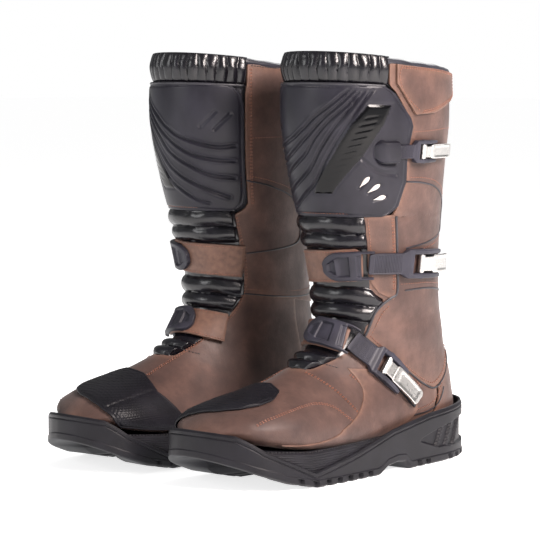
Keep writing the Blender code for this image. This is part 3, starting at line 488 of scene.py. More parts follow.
def knitted(name, dark, light):
    """Spacer mesh for the lining: a hexagonal knit about 1.6 mm across."""
    made, tree, place = finish_of(name)
    holes = node(tree, "ShaderNodeTexVoronoi", {"Vector": place, "Scale": 620.0})
    base = ramp(tree, holes.outputs["Distance"], [(0.1, dark), (0.6, light)])
    bump = node(tree, "ShaderNodeBump", {"Height": holes.outputs["Distance"], "Strength": 0.5,
                                         "Distance": 0.0006})
    close(tree, node(tree, "ShaderNodeBsdfPrincipled", {
        "Base Color": base, "Roughness": 0.9, "Sheen Weight": 0.3, "Normal": bump.outputs["Normal"]}))
    return made


def spun(name, colour):
    """Bonded polyester thread, three strands laid up."""
    made, tree, place = finish_of(name)
    strands = node(tree, "ShaderNodeTexNoise", {"Vector": place, "Scale": 1500.0, "Detail": 1.0})
    base = ramp(tree, strands.outputs["Fac"], [(0.3, colour[0]), (0.7, colour[1])])
    close(tree, node(tree, "ShaderNodeBsdfPrincipled", {
        "Base Color": base, "Roughness": 0.6, "Sheen Weight": 0.2}))
    return made


def satin_metal(name, colour, roughness):
    """Zinc casting, tumbled and plated: satin, with faint brushing along its length."""
    made, tree, place = finish_of(name)
    brushing = node(tree, "ShaderNodeTexNoise", {"Vector": place, "Scale": 420.0, "Detail": 2.0})
    rough = node(tree, "ShaderNodeMapRange", {"Value": brushing.outputs["Fac"], "To Min": roughness - 0.05,
                                              "To Max": roughness + 0.07})
    close(tree, node(tree, "ShaderNodeBsdfPrincipled", {
        "Base Color": paint(colour), "Metallic": 1.0, "Roughness": rough.outputs["Result"]}))
    return made


BROWN = oiled_hide("oiled_brown_hide", "3a2824", "4c3731", "614840", "83604f")
BLACK = polished_hide("polished_black_calf", "0a090e", "121118", 0.27)
COLLAR_HIDE = polished_hide("dark_grey_calf", "25242b", "33323b", 0.36)
PLATE = moulded("moulded_plate_polyurethane", "1e1d24", "27262e", 0.36, gloss=True)
RUBBER = moulded("moulded_sole_rubber", "131217", "1a191f", 0.48, 1100.0, 0.2)
FOAM = moulded("moulded_midsole_foam", "17161b", "1f1e24", 0.5, 800.0, 0.15)
NYLON = moulded("moulded_buckle_nylon", "2a2931", "36353f", 0.42)
PAD_PLASTIC = moulded("textured_pad_polyurethane", "121116", "1a191f", 0.45)
MESH = knitted("lining_spacer_mesh", "1c1b20", "3a3940")
RUST_THREAD = spun("rust_thread", ("653c2d", "8e553d"))
DARK_THREAD = spun("dark_thread", ("0c0b10", "1b1a22"))
GREY_CORD = polished_hide("grey_edge_binding", "201f24", "2f2e35", 0.45)
SILVER = satin_metal("plated_zinc", "cfccc9", 0.28)
STEEL = satin_metal("plain_steel", "9c9ca0", 0.35)
TEAR = moulded("pale_inlay", "b9b2ac", "d2cbc6", 0.4)
THREAD_FINISH = {"rust": RUST_THREAD, "dark": DARK_THREAD}


def refinish(name, finish):
    """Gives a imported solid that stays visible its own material, and returns it."""
    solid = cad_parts[name]
    solid.data.materials.clear()
    solid.data.materials.append(finish)
    return solid


# ---------------------------------------------------------------------------- leather

# Borders of the panels as places on the last: (s, th), or (th, s) where s is read off for a th
QUARTER_FRONT = [(0.0, 66), (0.45, 66), (0.56, 71), (0.95, 82), (1.1, 84), (1.55, 81), (2.05, 81), (2.5, 72),
                 (2.62, 68), (2.70, 43), (4.1, 43), (4.3, 57), (4.65, 47), (5.1, 41), (5.5, 41)]
QUARTER_FOOT = [(40, 5.35), (44, 5.45), (59, 5.8), (74, 6.1), (90, 6.42), (100, 6.45), (112, 6.1),
                (125, 5.62), (140, 5.25), (160, 5.15), (180, 5.1)]
INNER_FRONT = [(0.0, -66), (0.45, -66), (0.6, -65), (2.5, -64), (2.6, -60), (2.7, -50), (3.95, -54),
               (4.5, -54)]
INNER_FOOT = [(0, 4.4), (1, 4.4)]
VAMP_TOP = [(-104, 4.3), (-56, 4.3), (-42, 5.0), (-30, 5.7), (-24, 6.5), (-17, 7.2), (0, 7.35), (17, 7.2),
            (25, 6.7), (34, 6.0), (44, 5.3), (74, 5.75), (100, 6.2), (104, 6.2)]
ANKLE_FOOT = [(97, 6.9), (108, 6.8), (125, 6.2), (140, 5.6), (180, 5.3)]
COUNTER_TOP = [(101, 6.25), (104, 6.2), (112, 5.95), (125, 5.5), (140, 5.1), (180, 4.98)]
HIDE = 1.9 * MM
THIN_HIDE = 1.2 * MM

# Piped seams: line, radius and height above the last in millimetres
PIPED_SEAMS = [
    ([(2.62, 71), (3.4, 71), (4.08, 70), (4.25, 63), (4.45, 54), (4.75, 47), (5.4, 42)], 1.25, 0.9),
    ([(2.05, 81), (2.08, 94), (2.18, 112), (2.42, 132), (2.62, 138), (2.85, 137), (3.02, 118), (3.2, 80)],
     0.75, 0.5),
    ([(4.05, 78), (3.97, 100), (3.98, 124), (4.02, 150), (4.05, 179)], 0.8, 0.5),
    ([(5.42, 42), (5.8, 59), (6.1, 74), (6.42, 90), (6.45, 100), (6.1, 112), (5.62, 125), (5.25, 140),
      (5.15, 160), (5.1, 180)], 0.8, 0.6),
    ([(2.1, -64), (2.22, -84), (2.5, -106), (2.85, -112), (3.2, -111), (3.35, -90), (3.45, -58)], 0.75, 0.5),
    ([(4.40, -54), (4.38, -80), (4.32, -110), (4.2, -150), (4.1, -180)], 0.7, 0.4),
    ([(7.5, 101), (7.25, 104), (6.7, 108), (6.3, 113)], 0.6, 0.6),
]

# Stitched seams: line, distances of the rows beside it and height above the last in millimetres
ONE, TWO = (0.0,), (0.0, 1.4)
STITCHED_SEAMS = [
    # Edge strip
    ([(2.64, 46), (3.2, 46.5), (3.8, 46)], ONE, 1.25),
    ([(2.64, 67), (3.4, 67), (4.05, 66)], (0.0, 1.3), 1.25),
    # Outer side of the shaft
    ([(1.2, 85), (1.17, 105), (1.14, 128), (1.16, 179)], ONE, 0.3),
    ([(1.98, 84), (2.0, 96), (2.08, 112), (2.3, 134), (2.62, 142)], ONE, 0.3),
    ([(3.3, 80), (3.12, 116), (3.0, 134)], ONE, 0.3),
    ([(3.92, 74), (3.86, 100), (3.87, 124), (3.9, 150), (3.93, 179)], ONE, 0.3),
    ([(4.42, 62), (4.72, 54), (5.3, 47)], ONE, 0.5),
    ([(5.35, 46), (5.68, 60), (5.98, 74), (6.28, 89), (6.3, 99), (5.98, 110), (5.5, 124), (5.14, 140),
      (5.04, 160), (5.0, 180)], ONE, 0.6),
    ([(5.55, 44), (5.95, 60), (6.26, 74), (6.58, 90)], TWO, 0.2),
    # Inner side
    ([(0.12, -69), (0.6, -69), (1.5, -69), (2.5, -68)], TWO, 0.5),
    ([(1.35, -67), (1.33, -98), (1.3, -140), (1.28, -180)], ONE, 0.3),
    ([(2.02, -66), (2.14, -86), (2.42, -110), (2.85, -117)], ONE, 0.3),
    ([(4.28, -56), (4.26, -80), (4.2, -110), (4.08, -150), (3.98, -180)], ONE, 0.3),
    ([(2.72, -53), (3.95, -57), (4.9, -47), (5.65, -33), (6.5, -25), (7.3, -22), (8.6, -24)], TWO, 0.5),
    # Vamp
    ([(10.9, 62), (10.45, 54), (9.6, 49), (8.8, 50), (8.5, 60), (8.55, 76), (8.65, 100), (8.7, 124)],
     TWO, 0.3),
    ([(7.45, 16), (7.55, 26), (7.8, 46), (8.15, 70), (8.4, 92), (8.5, 120), (8.4, 140)], TWO, 0.3),
    ([(7.0, 44), (7.25, 56), (7.6, 66)], TWO, 0.3),
    ([(7.4, 98), (7.0, 102), (6.55, 106), (6.2, 112)], (1.8,), 0.6),
]


def edge_angle(s):
    """Angle at which the upper's leather turns in over the edge of the sole."""
    return 104 + 31 * np.clip((np.asarray(s) - 6.9) / 1.5, 0, 1)


def folds(s, th, points):
    """Relief of soft leather: long shallow folds over the ankle and a slow unevenness all over."""
    ankle = np.exp(-((s - 4.9) / 0.9) ** 2)
    return 0.30 * MM * wander(2.1 * s, th / 17) + ankle * 0.35 * MM * np.sin(7.0 * s + th / 24 + 0.6)


def quarter_grid(front, foot, back, rows, columns):
    """Rows from the rim to the foot curve and columns from the front curve to the back.

    s = v * foot(th where the column ends) and th = front(s) + (back - front(s)) * u.
    """
    v, u = np.meshgrid(panel_shares(rows, 0.25), panel_shares(columns, 0.16), indexing="ij")
    last = through(front, 9)
    s = v * through(foot, last + (back - last) * u)
    start = through(front, s)
    return s, start + (back - start) * u


def hide_piece(name, side, body, places, lift, thick, relief=folds, replaces=()):
    """Panel of brown hide over a pair of (s, th) grids."""
    mesh, edge = hide(*places, lift, thick, relief)
    piece(name, mesh, side, body, BROWN, replaces, edge=edge)


def build_leather(side):
    """Panels of the upper, from the rim to the sole, with the seams that join them."""
    body = BODY[side]
    hide_piece("shaft_outer_hide", side, body, quarter_grid(QUARTER_FRONT, QUARTER_FOOT, 180.0, 130, 80),
               0.35 * MM, HIDE, replaces=("shaft_outer",))
    hide_piece("shaft_inner_hide", side, body, quarter_grid(INNER_FRONT, INNER_FOOT, -180.0, 110, 70),
               0.35 * MM, HIDE, replaces=("shaft_inner",))

    # Inner ankle, sewn in under the shaft, the vamp and the heel counter
    v, u = np.meshgrid(panel_shares(60, 0.08), panel_shares(50, 0.06), indexing="ij")
    th = -97 - 83 * u
    s = 4.2 + (through(ANKLE_FOOT, -th) - 4.2) * v
    hide_piece("inner_ankle_hide", side, body, (s, th), -1.0 * MM, THIN_HIDE)

    # Vamp: th at the top of a column spreads to the edge of the sole
    top = np.linspace(-104, 104, 110)[None, :]
    start = through(VAMP_TOP, top)
    s = start + (TOE - start) * panel_shares(90, 0.2)[:, None]
    hide_piece("vamp_hide", side, body, (s, top / 104 * edge_angle(s)), 0.0, HIDE, replaces=("vamp",))

    # Heel counter: the same, round the back
    top = np.linspace(101, 259, 70)[None, :]
    start = through(COUNTER_TOP, np.minimum(top, 360 - top))
    s = start + (7.95 - start) * panel_shares(40, 0.07)[:, None]
    spread = (180 - edge_angle(s) - 3) / (180 - 101)
    th = 180 + (top - 180) * np.minimum(spread, 1)
    hide_piece("heel_counter_hide", side, body, (s, th), -0.25 * MM, 1.7 * MM, replaces=("heel_counter",))

    # Strip that carries the plate's lower corner down beside the bellows
    strip = patch([(2.60, 43), (2.60, 70)], [(4.15, 52), (4.28, 66)],
                  [(2.60, 43), (3.2, 43.5), (3.8, 43), (4.15, 52)],
                  [(2.60, 70), (3.4, 70), (4.1, 69), (4.28, 66)], 60, 22)
    hide_piece("edge_strip", side, body, strip, 1.15 * MM, THIN_HIDE, relief=None)

    # Facing over the side of the foot, under the lower buckle
    facing = patch([(6.75, 40), (6.5, 60), (6.9, 84)], [(10.6, 111), (9.6, 122), (8.6, 128)],
                   [(6.75, 40), (7.5, 62), (8.6, 84), (10.6, 111)],
                   [(6.9, 84), (7.6, 104), (8.6, 128)], 60, 46)
    hide_piece("side_facing", side, body, facing, 0.85 * MM, THIN_HIDE)

    for line, radius, lift in PIPED_SEAMS:
        pipe(side, body, line, radius * MM, lift * MM)
    for line, rows, lift in STITCHED_SEAMS:
        sew(side, body, "rust", line, [row * MM for row in rows], lift * MM)


def flap_relief(s, th, points):
    """Slow unevenness of a loose flap."""
    return 0.25 * MM * wander(3 * s, th / 14)


def build_flap(side):
    """Flap over the outer side at the rim: tapered below, with two rows of stitches round it."""
    v, u = np.meshgrid(panel_shares(30, 0.05), panel_shares(60, 0.08), indexing="ij")
    th = 70.5 + 69 * u + 15 * np.maximum(v - 0.45, 0) / 0.55 * (1 - u)
    top = 0.02 + 0.1 * smoothstep(0.93, 1.0, u)
    low = through([(0, 0.9), (0.28, 0.86), (0.84, 0.6), (0.95, 0.52), (1.0, 0.42)], u)
    body = f"{side}_closure_flap"
    hide_piece("closure_flap_hide", side, body, (top + (low - top) * v, th), 2.9 * MM, 2.0 * MM, flap_relief,
               ("closure_flap",))
    border = [(0.12, 73), (0.08, 100), (0.10, 128), (0.16, 136), (0.30, 137.5), (0.46, 136), (0.56, 128),
              (0.66, 115), (0.78, 100), (0.83, 90)]
    sew(side, body, "rust", border, (0.0, 1.5 * MM), lift=3.05 * MM)
    sew(side, body, "rust", [(0.12, 73), (0.35, 72.5), (0.6, 77), (0.83, 88)], lift=3.05 * MM)


# ---------------------------------------------------------------------------- shin plate

PLATE_OUTER_EDGE = [(0.46, 60), (0.50, 64), (0.58, 70), (0.95, 82), (1.1, 84), (1.55, 80.5), (2.05, 80),
                    (2.45, 73), (2.56, 66), (2.62, 58)]
PLATE_INNER_EDGE = [(0.46, -50), (0.52, -57), (0.62, -61.5), (0.8, -63.5), (2.3, -62.5), (2.48, -60),
                    (2.57, -55), (2.62, -48)]
GROOVES = [
    [(0.52, 38), (0.75, 24), (0.95, 10), (1.15, 0), (1.3, -10), (1.42, -26), (1.5, -42), (1.48, -56)],
    [(0.52, 42), (0.75, 30), (0.95, 18), (1.25, 4), (1.45, -6), (1.62, -20), (1.72, -38), (1.75, -55)],
    [(0.52, 46), (0.75, 36), (1.0, 22), (1.3, 9), (1.62, -2), (1.85, -20), (2.0, -36), (2.05, -54)],
    [(0.52, 49), (0.75, 40), (1.1, 26), (1.45, 14), (1.92, -2), (2.2, -26), (2.38, -48)],
    [(0.52, 54), (0.8, 44), (1.2, 31), (1.65, 17), (2.1, 3), (2.38, -16), (2.48, -30)],
]
# Line below the badge, and the line round it
CRESCENT = [(1.62, 44), (1.75, 50), (1.86, 58), (1.92, 71)]
HALO = [(1.36, 60), (1.42, 56), (1.55, 54.5), (1.68, 57), (1.73, 62), (1.74, 70)]
# Drop-shaped inlays, tip and head, and two vents on the inner side
TEARS = [((2.12, 42), (1.95, 50)), ((2.21, 48), (2.08, 58)), ((2.33, 52), (2.28, 62))]
VENTS = [((0.88, -42), (1.14, -30)), ((0.93, -53), (1.19, -41))]
# Seams along the plate's upper and outer border, and along its lower and inner one
PLATE_SEAMS = [
    ("dark", [(0.555, -50), (0.535, -20), (0.525, 10), (0.53, 40), (0.56, 60), (0.7, 70.5), (0.98, 78.5),
              (1.15, 80), (1.55, 76.5), (2.05, 76), (2.38, 70)]),
    ("rust", [(2.55, 58), (2.555, 20), (2.555, -20), (2.545, -44), (2.44, -55), (2.2, -58.6), (1.5, -59),
              (0.85, -59), (0.68, -57), (0.58, -52)]),
]


def badge_place(s, th):
    """Place in the slanting badge: across from 0 to 1 between its curved sides, down from 0 to 1."""
    left = through([(0.75, 50), (1.05, 38), (1.6, 22), (2.0, 8), (2.25, 2)], s)
    right = through([(0.75, 67), (1.05, 62), (1.6, 46), (2.2, 20), (2.25, 18)], s)
    return (th - left) / np.maximum(right - left, 1), (s - 0.75) / 1.48


def plate_relief(s, th, points):
    """Grooves cut as rounded channels with a raised lip, a bevelled badge, vents, inlays and a sewn rim."""
    relief = np.zeros_like(s)
    groove = from_lines(points, *(trace(line) for line in GROOVES)) / (1.15 * MM)
    fade = smoothstep(2.62, 2.35, s) * smoothstep(0.5, 0.62, s)
    relief -= 1.7 * MM * np.exp(-groove ** 4) * fade
    relief += 0.55 * MM * np.exp(-(groove - 2.1) ** 2 * 2.2) * fade
    across, down = badge_place(s, th)
    inside = smoothstep(-0.02, 0.06, across) * smoothstep(1.02, 0.94, across) \
        * smoothstep(-0.01, 0.03, down) * smoothstep(1.01, 0.97, down)
    near_edge = np.minimum(np.minimum(across, 1 - across) * 16, np.minimum(down, 1 - down) * 60)
    around = (across > -0.1) * (across < 1.1) * (down > -0.05) * (down < 1.05)
    relief -= 0.55 * MM * np.exp(-(near_edge / 1.1) ** 2) * around
    relief += inside * 0.35 * MM
    hatch = 0.5 + 0.5 * np.sin(2 * math.pi * (down * 13 + across * 1.2))
    relief -= 0.22 * MM * inside * smoothstep(0.25, 0.35, across) * smoothstep(0.75, 0.65, across) \
        * smoothstep(0.1, 0.14, down) * smoothstep(0.92, 0.88, down) * smoothstep(0.55, 0.8, hatch)
    for line, width in ((CRESCENT, 1.6 * MM), (HALO, 1.3 * MM)):
        relief -= 1.2 * MM * np.exp(-(from_lines(points, trace(line)) / width) ** 2)
    for lines, width, depth in ((TEARS, 2.1 * MM, 0.9 * MM), (VENTS, 1.4 * MM, 1.2 * MM)):
        for line in lines:
            relief -= depth * np.exp(-(from_lines(points, trace(line, straight=True)) / width) ** 4)
    border = from_border(points)
    relief -= 0.9 * MM * np.exp(-((border - 3.6 * MM) / (0.7 * MM)) ** 2)
    relief -= 0.5 * MM * smoothstep(3.4 * MM, 2.6 * MM, border)
    return relief + 0.25 * MM * wander(1.7 * s, th / 26)


def build_plate(side):
    """Moulded plate with its inlays, the seat of the top band, and the seams round it."""
    body = BODY[side]
    v, u = np.meshgrid(panel_shares(150, 0.105), panel_shares(170, 0.13), indexing="ij")
    s = 0.46 + 2.16 * v
    start, end = through(PLATE_INNER_EDGE, s), through(PLATE_OUTER_EDGE, s)
    th = start + (end - start) * u
    mesh, _ = hide(s, th, 2.7 * MM, 2.6 * MM, plate_relief, roll=1.2 * MM)
    across, down = badge_place(s, th)
    shine = ((across > 0.02) & (across < 0.98) & (down > 0.01) & (down < 0.99)).astype(float)
    shine = np.concatenate([shine.ravel(), shine.ravel()])
    piece("shin_plate_shell", mesh, side, body, PLATE, ("shin_plate",), sharp=60, edge=shine)
    share = np.linspace(0, 1, 14)
    for number, tear in enumerate(TEARS):
        line = trace(tear, share, straight=True)
        up = outward(line[:, 0], line[:, 1])
        width = 2.0 * MM * np.sin(np.pi * share ** 1.7 * 0.97 + 0.02) ** 0.7
        path = last_point(line[:, 0], line[:, 1]) + up * 2.2 * MM
        inlay = round_tube(path, up, width, 12, width * 0.35)
        piece(f"plate_inlay_{number}", inlay, side, body, TEAR)
    # Raised seat for the root of the top band
    v, u = np.meshgrid(np.linspace(0, 1, 30), np.linspace(-1, 1, 30), indexing="ij")
    s = 1.53 + u * (0.10 + 0.09 * smoothstep(0.0, 0.35, v))
    th = 53 + 18 * v
    rise = 7.0 * MM * smoothstep(0.0, 0.55, v) ** 0.6 * (1 - 0.16 * u ** 4)
    edge_drop = np.minimum(smoothstep(1.0, 0.88, np.abs(u)), smoothstep(0.0, 0.16, v))
    height = 1.6 * MM + (rise - 0.2 * MM) * edge_drop
    boss = slab(skin(s, th, height), skin(s, th, 0.6 * MM + 0 * s))
    piece("plate_boss", boss, side, body, PLATE, sharp=50, edge=np.zeros(1))
    for colour, line in PLATE_SEAMS:
        sew(side, body, colour, line, lift=2.05 * MM, thick=0.35 * MM)


# ---------------------------------------------------------------------------- padded collar and bellows

PLEATS = 17


def build_cuff(side):
    """Gathered collar over the shin, whose pleats meet its seam and roll over the rim.

    height = bulge * arch(s) + pleat * arch(s)^0.7, pleat = |sin|^0.62 of a wandering angle.
    """
    body = BODY[side]
    v, u = np.meshgrid(np.linspace(0, 1, 44), np.linspace(0, 1, 280), indexing="ij")
    s = -0.11 + 0.575 * v
    th = -66.5 + 133 * u
    turn = PLEATS * math.pi * (u + 0.006 * wander(9 * u, 2.6 * v) + 0.004 * np.sin(5 * v + 40 * u))
    pleat = np.abs(np.sin(turn)) ** 0.62
    arch = np.sin(np.pi * np.clip(v * 0.94 + 0.06, 0, 1)) ** 0.55
    height = (-2.2 + 4.6 * arch + 2.1 * (pleat - 0.55) * arch ** 0.7 + 0.5 * wander(17 * u, 3 * v)) * MM
    ends = smoothstep(0, 0.02, u) * smoothstep(1, 0.98, u)
    height = np.where(ends < 1, -2.0 * MM + (height + 2.0 * MM) * ends, height)
    inner = -3.3 * MM - 1.2 * MM * np.sin(np.pi * v)
    cuff = slab(skin(s, th, height), skin(s, th, inner))
    made = piece("cuff_gathers", cuff, side, body, BLACK, ("cuff",), sharp=80)
    pipe(side, body, [(0.475, place) for place in np.linspace(-62, 62, 9)], 1.2 * MM, 1.6 * MM)

    # Rolled binding of the rim behind the cuff
    th = np.linspace(64, 296, 150)
    s = -0.015 + 0.006 * np.sin(th / 6)
    up = outward(s, th)
    path = skin(s, th, -2.4 * MM + 0 * s)
    width, height = (3.3 + 0.25 * np.sin(th / 2.3)) * MM, (3.2 + 0.15 * np.sin(th / 3.1)) * MM
    roll = round_tube(path, up, width, 14, height)
    made = piece("collar_roll", roll, side, body, COLLAR_HIDE)
    sew(side, body, "dark", [(0.06, 140), (0.06, 180), (0.06, 240), (0.06, 292)], lift=0.6 * MM)


# Rolls of the bellows, from s to s, and its sides
RIBS = [(2.63, 2.93), (2.93, 3.21), (4.06, 4.5), (4.5, 4.95), (6.42, 6.84), (6.84, 7.28)]
BELLOWS_OUTER = [(2.6, 45), (4.05, 45), (4.2, 50), (4.35, 57), (4.65, 49), (5.1, 43), (5.6, 41), (6.1, 33),
                 (6.8, 23), (7.3, 14)]
BELLOWS_INNER = [(2.6, -51), (3.95, -55), (4.4, -54), (5.0, -43), (5.7, -30), (6.5, -23), (7.3, -14)]


def build_bellows(side):
    """Flex panel: each rib is a padded roll, height = a * sin^0.55 across it, drawn in where it is sewn.

    Short puckers run out of the seams: their depth falls off with the distance from the channel.
    """
    body = BODY[side]
    v, u = np.meshgrid(np.linspace(0, 1, 190), np.linspace(0, 1, 110), indexing="ij")
    s = 2.6 + 4.7 * v
    start, end = through(BELLOWS_INNER, s), through(BELLOWS_OUTER, s)
    th = start + (end - start) * u
    height = np.full(s.shape, 0.3 * MM)
    for number, (low, high) in enumerate(RIBS):
        wave = 0.012 * np.sin(th / 7 + number * 2.1)
        place = (s + wave - low) / (high - low)
        inside = (place > 0) & (place < 1)
        arch = np.sin(np.pi * np.clip(place, 0, 1)) ** 0.55
        pucker = 0.5 * MM * np.sin(th / 1.9 + 1.7 * wander(th / 5, 3.1 * number + 0 * th)) \
            * np.exp(-np.minimum(place, 1 - place) * 9) * np.where(inside, 1, 0)
        swell = 1 + 0.10 * wander(th / 13, number + 0.6 * place)
        height = np.where(inside, 0.2 * MM + 4.4 * MM * arch * swell + pucker, height)
    sides = smoothstep(0, 0.05, u) * smoothstep(1, 0.95, u)
    height = 0.1 * MM + (height - 0.1 * MM) * sides ** 0.7
    bellows = slab(skin(s, th, height), skin(s, th, -1.7 * MM + 0 * s))
    made = piece("bellows_rolls", bellows, side, body, BLACK, ("bellows",), sharp=80)
    for _, high in RIBS[::2]:
        sew(side, body, "dark", [(high, place) for place in np.linspace(-34, 34, 5)], lift=0.4 * MM)


# ---------------------------------------------------------------------------- straps, sliders, pad

def track_frame(track, t):
    """Points of a track (rows of t, s, th) with unit vectors across it and out of the boot."""
    table = np.array(track, float)
    rate = (table[1, 1:] - table[0, 1:]) / (table[1, 0] - table[0, 0])

    def at(value):
        before = np.minimum(value - table[0, 0], 0)
        return np.interp(value, table[:, 0], table[:, 1]) + before * rate[0], \
            np.interp(value, table[:, 0], table[:, 2]) + before * rate[1]

    s, th = at(t)
    up = outward(s, th)
    ahead = unit(last_point(*at(t + 0.03)) - last_point(*at(t - 0.03)))
    return last_point(s, th), unit(np.cross(up, ahead)), up


def ribbon(track, t, half, low, high, columns, roll, relief=None, aside=0.0):
    """Strip along a track with a rounded top; relief(along, across) adds to its height."""
    centre, across, up = track_frame(track, t)
    centre = centre + across * aside
    share = 2 * panel_shares(columns, 0.024) - 1
    half, low, high = (np.broadcast_to(value, t.shape) for value in (half, low, high))
    flat = centre[:, None] + across[:, None] * (share[None, :, None] * half[:, None, None])
    distance = from_border(flat)
    lean = 1 - np.clip(distance / roll, 0, 1)
    rise = high[:, None] - roll * (1 - np.sqrt(1 - 0.98 * lean ** 2))
    if relief is not None:
        rise = rise + relief(t[:, None] + 0 * rise, share[None, :] * half[:, None] + 0 * rise)
    return slab(flat + up[:, None] * rise[..., None],
                flat + up[:, None] * (low[:, None, None] + 0 * flat[..., :1]))


MID_STRAP = [(0, 3.62, -54), (0.6, 3.58, 1), (1, 3.51, 38), (1.3, 3.48, 65)]
LOW_STRAP = [(0, 5.55, -40), (0.6, 5.60, 0), (1, 5.68, 28), (1.3, 5.95, 45)]
# Track, low face, half width, where the slider starts and ends along the track
STRAPS = {
    "mid": (MID_STRAP, 1.4 * MM, 14.2 * MM, 0.6, 0.98),
    "low": (LOW_STRAP, 4.0 * MM, 12.5 * MM, 0.42, 0.97),
}
STRAP_THICK = 2.2 * MM
SLIDER_LIFT = 2.7 * MM
SLIDER_THICK = 3.8 * MM
SLIDER_HALF = 12.5 * MM


def strap_relief(t, x):
    """Slow unevenness of the strap's face."""
    return 0.15 * MM * wander(14 * t, x / (6 * MM))


def slider_relief(t, x, start, end):
    """Sunk window with one rung, narrower in front, and a lowered lip between the ears."""
    place, beside = (t - start) / (end - start), np.abs(x)
    room = smoothstep(8.6 * MM, 7.9 * MM, beside + 5.5 * MM * smoothstep(0.45, 0.08, place)) \
        * smoothstep(0.12, 0.17, place) * smoothstep(0.72, 0.68, place)
    rung = smoothstep(0.05, 0.03, np.abs(place - 0.36))
    lip = smoothstep(0.86, 0.9, place) * smoothstep(9.5 * MM, 9.0 * MM, beside)
    return -2.3 * MM * room * (1 - 0.75 * rung) + 0.5 * MM * smoothstep(0.1, 0.3, place) - 1.2 * MM * lip


def build_strap(side, name, track, low, half):
    """Leather strap with a rounded end and a row of stitches down each side."""
    body = BODY[side]
    t = np.concatenate([np.linspace(0, 0.9, 60), np.linspace(0.91, 1.0, 12)])
    width = half * np.sqrt(1 - 0.45 * smoothstep(0.9, 1.0, t) ** 2)
    strap = ribbon(track, t, width, low, low + STRAP_THICK, 22, 0.6 * MM, strap_relief)
    # Rubbed all over, so one value serves every point
    piece(f"strap_{name}_hide", strap, side, body, BROWN, (f"strap_{name}",),
          edge=np.ones(1))
    centre, across, up = track_frame(track, np.linspace(0.02, 0.96, 60))
    for row in (-1, 1):
        path = centre + across * row * (half - 1.8 * MM) + up * (low + STRAP_THICK + 0.1 * MM)
        stitch_path(side, body, "rust", path, up)


def build_slider(side, name, track, low, start, end):
    """Slider: a round nose in front, a sunk window, and two ears behind."""
    t = np.concatenate([start + 0.19 * (1 - np.cos(np.linspace(0, math.pi / 2, 22))) ** 1.4,
                        np.linspace(start + 0.2, end, 60)])
    nose = np.clip((t - start) / 0.17, 0, 1)
    width = SLIDER_HALF * np.sqrt(np.clip(1 - (1 - nose) ** 2 * 0.93, 0.02, 1))
    parts = [ribbon(track, t, width, low, low + SLIDER_THICK, 46, 1.1 * MM,
                    lambda along, x: slider_relief(along, x, start, end))]
    centre, across, up = track_frame(track, np.linspace(end - 0.04, end + 0.12, 14))
    for row in (-1, 1):
        path = centre + across * row * 11.4 * MM + up * (low + 2.2 * MM)
        parts.append(round_tube(path, up, 1.1 * MM, 10, 2.1 * MM))
    piece(f"slider_{name}_body", joined(*parts), side, BODY[side], NYLON, (f"slider_{name}",),
          sharp=45)


def build_straps(side):
    """The two leather straps, each with its slider."""
    for name, (track, low, half, start, end) in STRAPS.items():
        build_strap(side, name, track, low, half)
        build_slider(side, name, track, low + SLIDER_LIFT, start, end)


PAD_FRONT = [(-108, 11.3), (-90, 11.4), (-50, 11.4), (-20, 11.2), (5, 10.9), (20, 10.5), (27, 10.0)]
PAD_BACK = [(-108, 9.35), (-90, 9.4), (-50, 9.2), (-20, 8.6), (5, 8.5), (20, 8.8), (27, 9.4)]


def pad_relief(s, th, points):
    """Sunk field with a fine diamond grid, a lip round it, and a dotted upper panel."""
    border = from_border(points)
    field = smoothstep(3.2 * MM, 4.2 * MM, border)
    grid = np.maximum(np.cos(points[..., 1] / MM * 2.4 + points[..., 2] / MM * 1.9),
                      np.cos(points[..., 1] / MM * 2.4 - points[..., 2] / MM * 1.9))
    lower = smoothstep(-44, -52, th)
    divide = np.exp(-((th + 47) / 2.2) ** 2)
    return -0.7 * MM * np.exp(-((border - 2.6 * MM) / (0.8 * MM)) ** 2) \
        + field * (-0.45 * MM * lower + 0.32 * MM * grid) - 0.8 * MM * divide * (border > 3 * MM)


def build_pad(side):
    """Patch over the toes and down the inner side."""
    v, u = np.meshgrid(panel_shares(66, 0.05), panel_shares(170, 0.13), indexing="ij")
    th = -108 + 135 * u
    s = through(PAD_BACK, th) + (through(PAD_FRONT, th) - through(PAD_BACK, th)) * v
    mesh, _ = hide(s, th, 2.7 * MM, 1.5 * MM, pad_relief, roll=1.0 * MM)
    piece("shift_pad_skin", mesh, side, BODY[side], PAD_PLASTIC, ("shift_pad",), sharp=60)


# ---------------------------------------------------------------------------- sole

# Heights along the foot, in millimetres
TREAD = [(-40, 3), (-26, 1.2), (-16, 0), (84, 0), (92, 7), (104, 8), (118, 6), (130, 0), (212, 0), (242, 6),
         (268, 15), (292, 26), (310, 34)]
TRAY = [(-40, 13), (90, 14), (125, 11), (150, 7), (215, 7), (242, 13), (268, 24), (292, 33), (310, 38)]
CUP_EDGE = [(-40, 52), (-18, 50), (10, 48), (55, 45), (110, 37), (160, 24), (215, 13), (262, 34), (280, 47),
            (310, 54)]
WELT_LINE = [(-40, 46), (10, 42), (72, 33), (110, 31), (160, 30), (215, 29), (262, 33), (280, 43), (310, 49)]
# Middles of the slots between the lugs, and of the ribs in the hollow, along the foot
LUGS = (-4, 9, 22, 58, 71, 143, 157, 171, 185, 199, 214, 230)
HOLLOW_RIBS = (22, 37, 52)
RECESS_LOW = [(-30, 17), (0, 13), (40, 13), (72, 22)]
RECESS_HIGH = [(-30, 38), (0, 37), (40, 31), (72, 24)]
WELT_TOP = 64 * MM
CUP_OUT = 8.0 * MM


def smoothed_round(values, width):
    """Values round a closed line, averaged under a raised cosine."""
    window, reach = np.hanning(width) / np.hanning(width).sum(), width // 2
    return np.convolve(np.concatenate([values[-reach:], values, values[:reach]]), window, "valid")


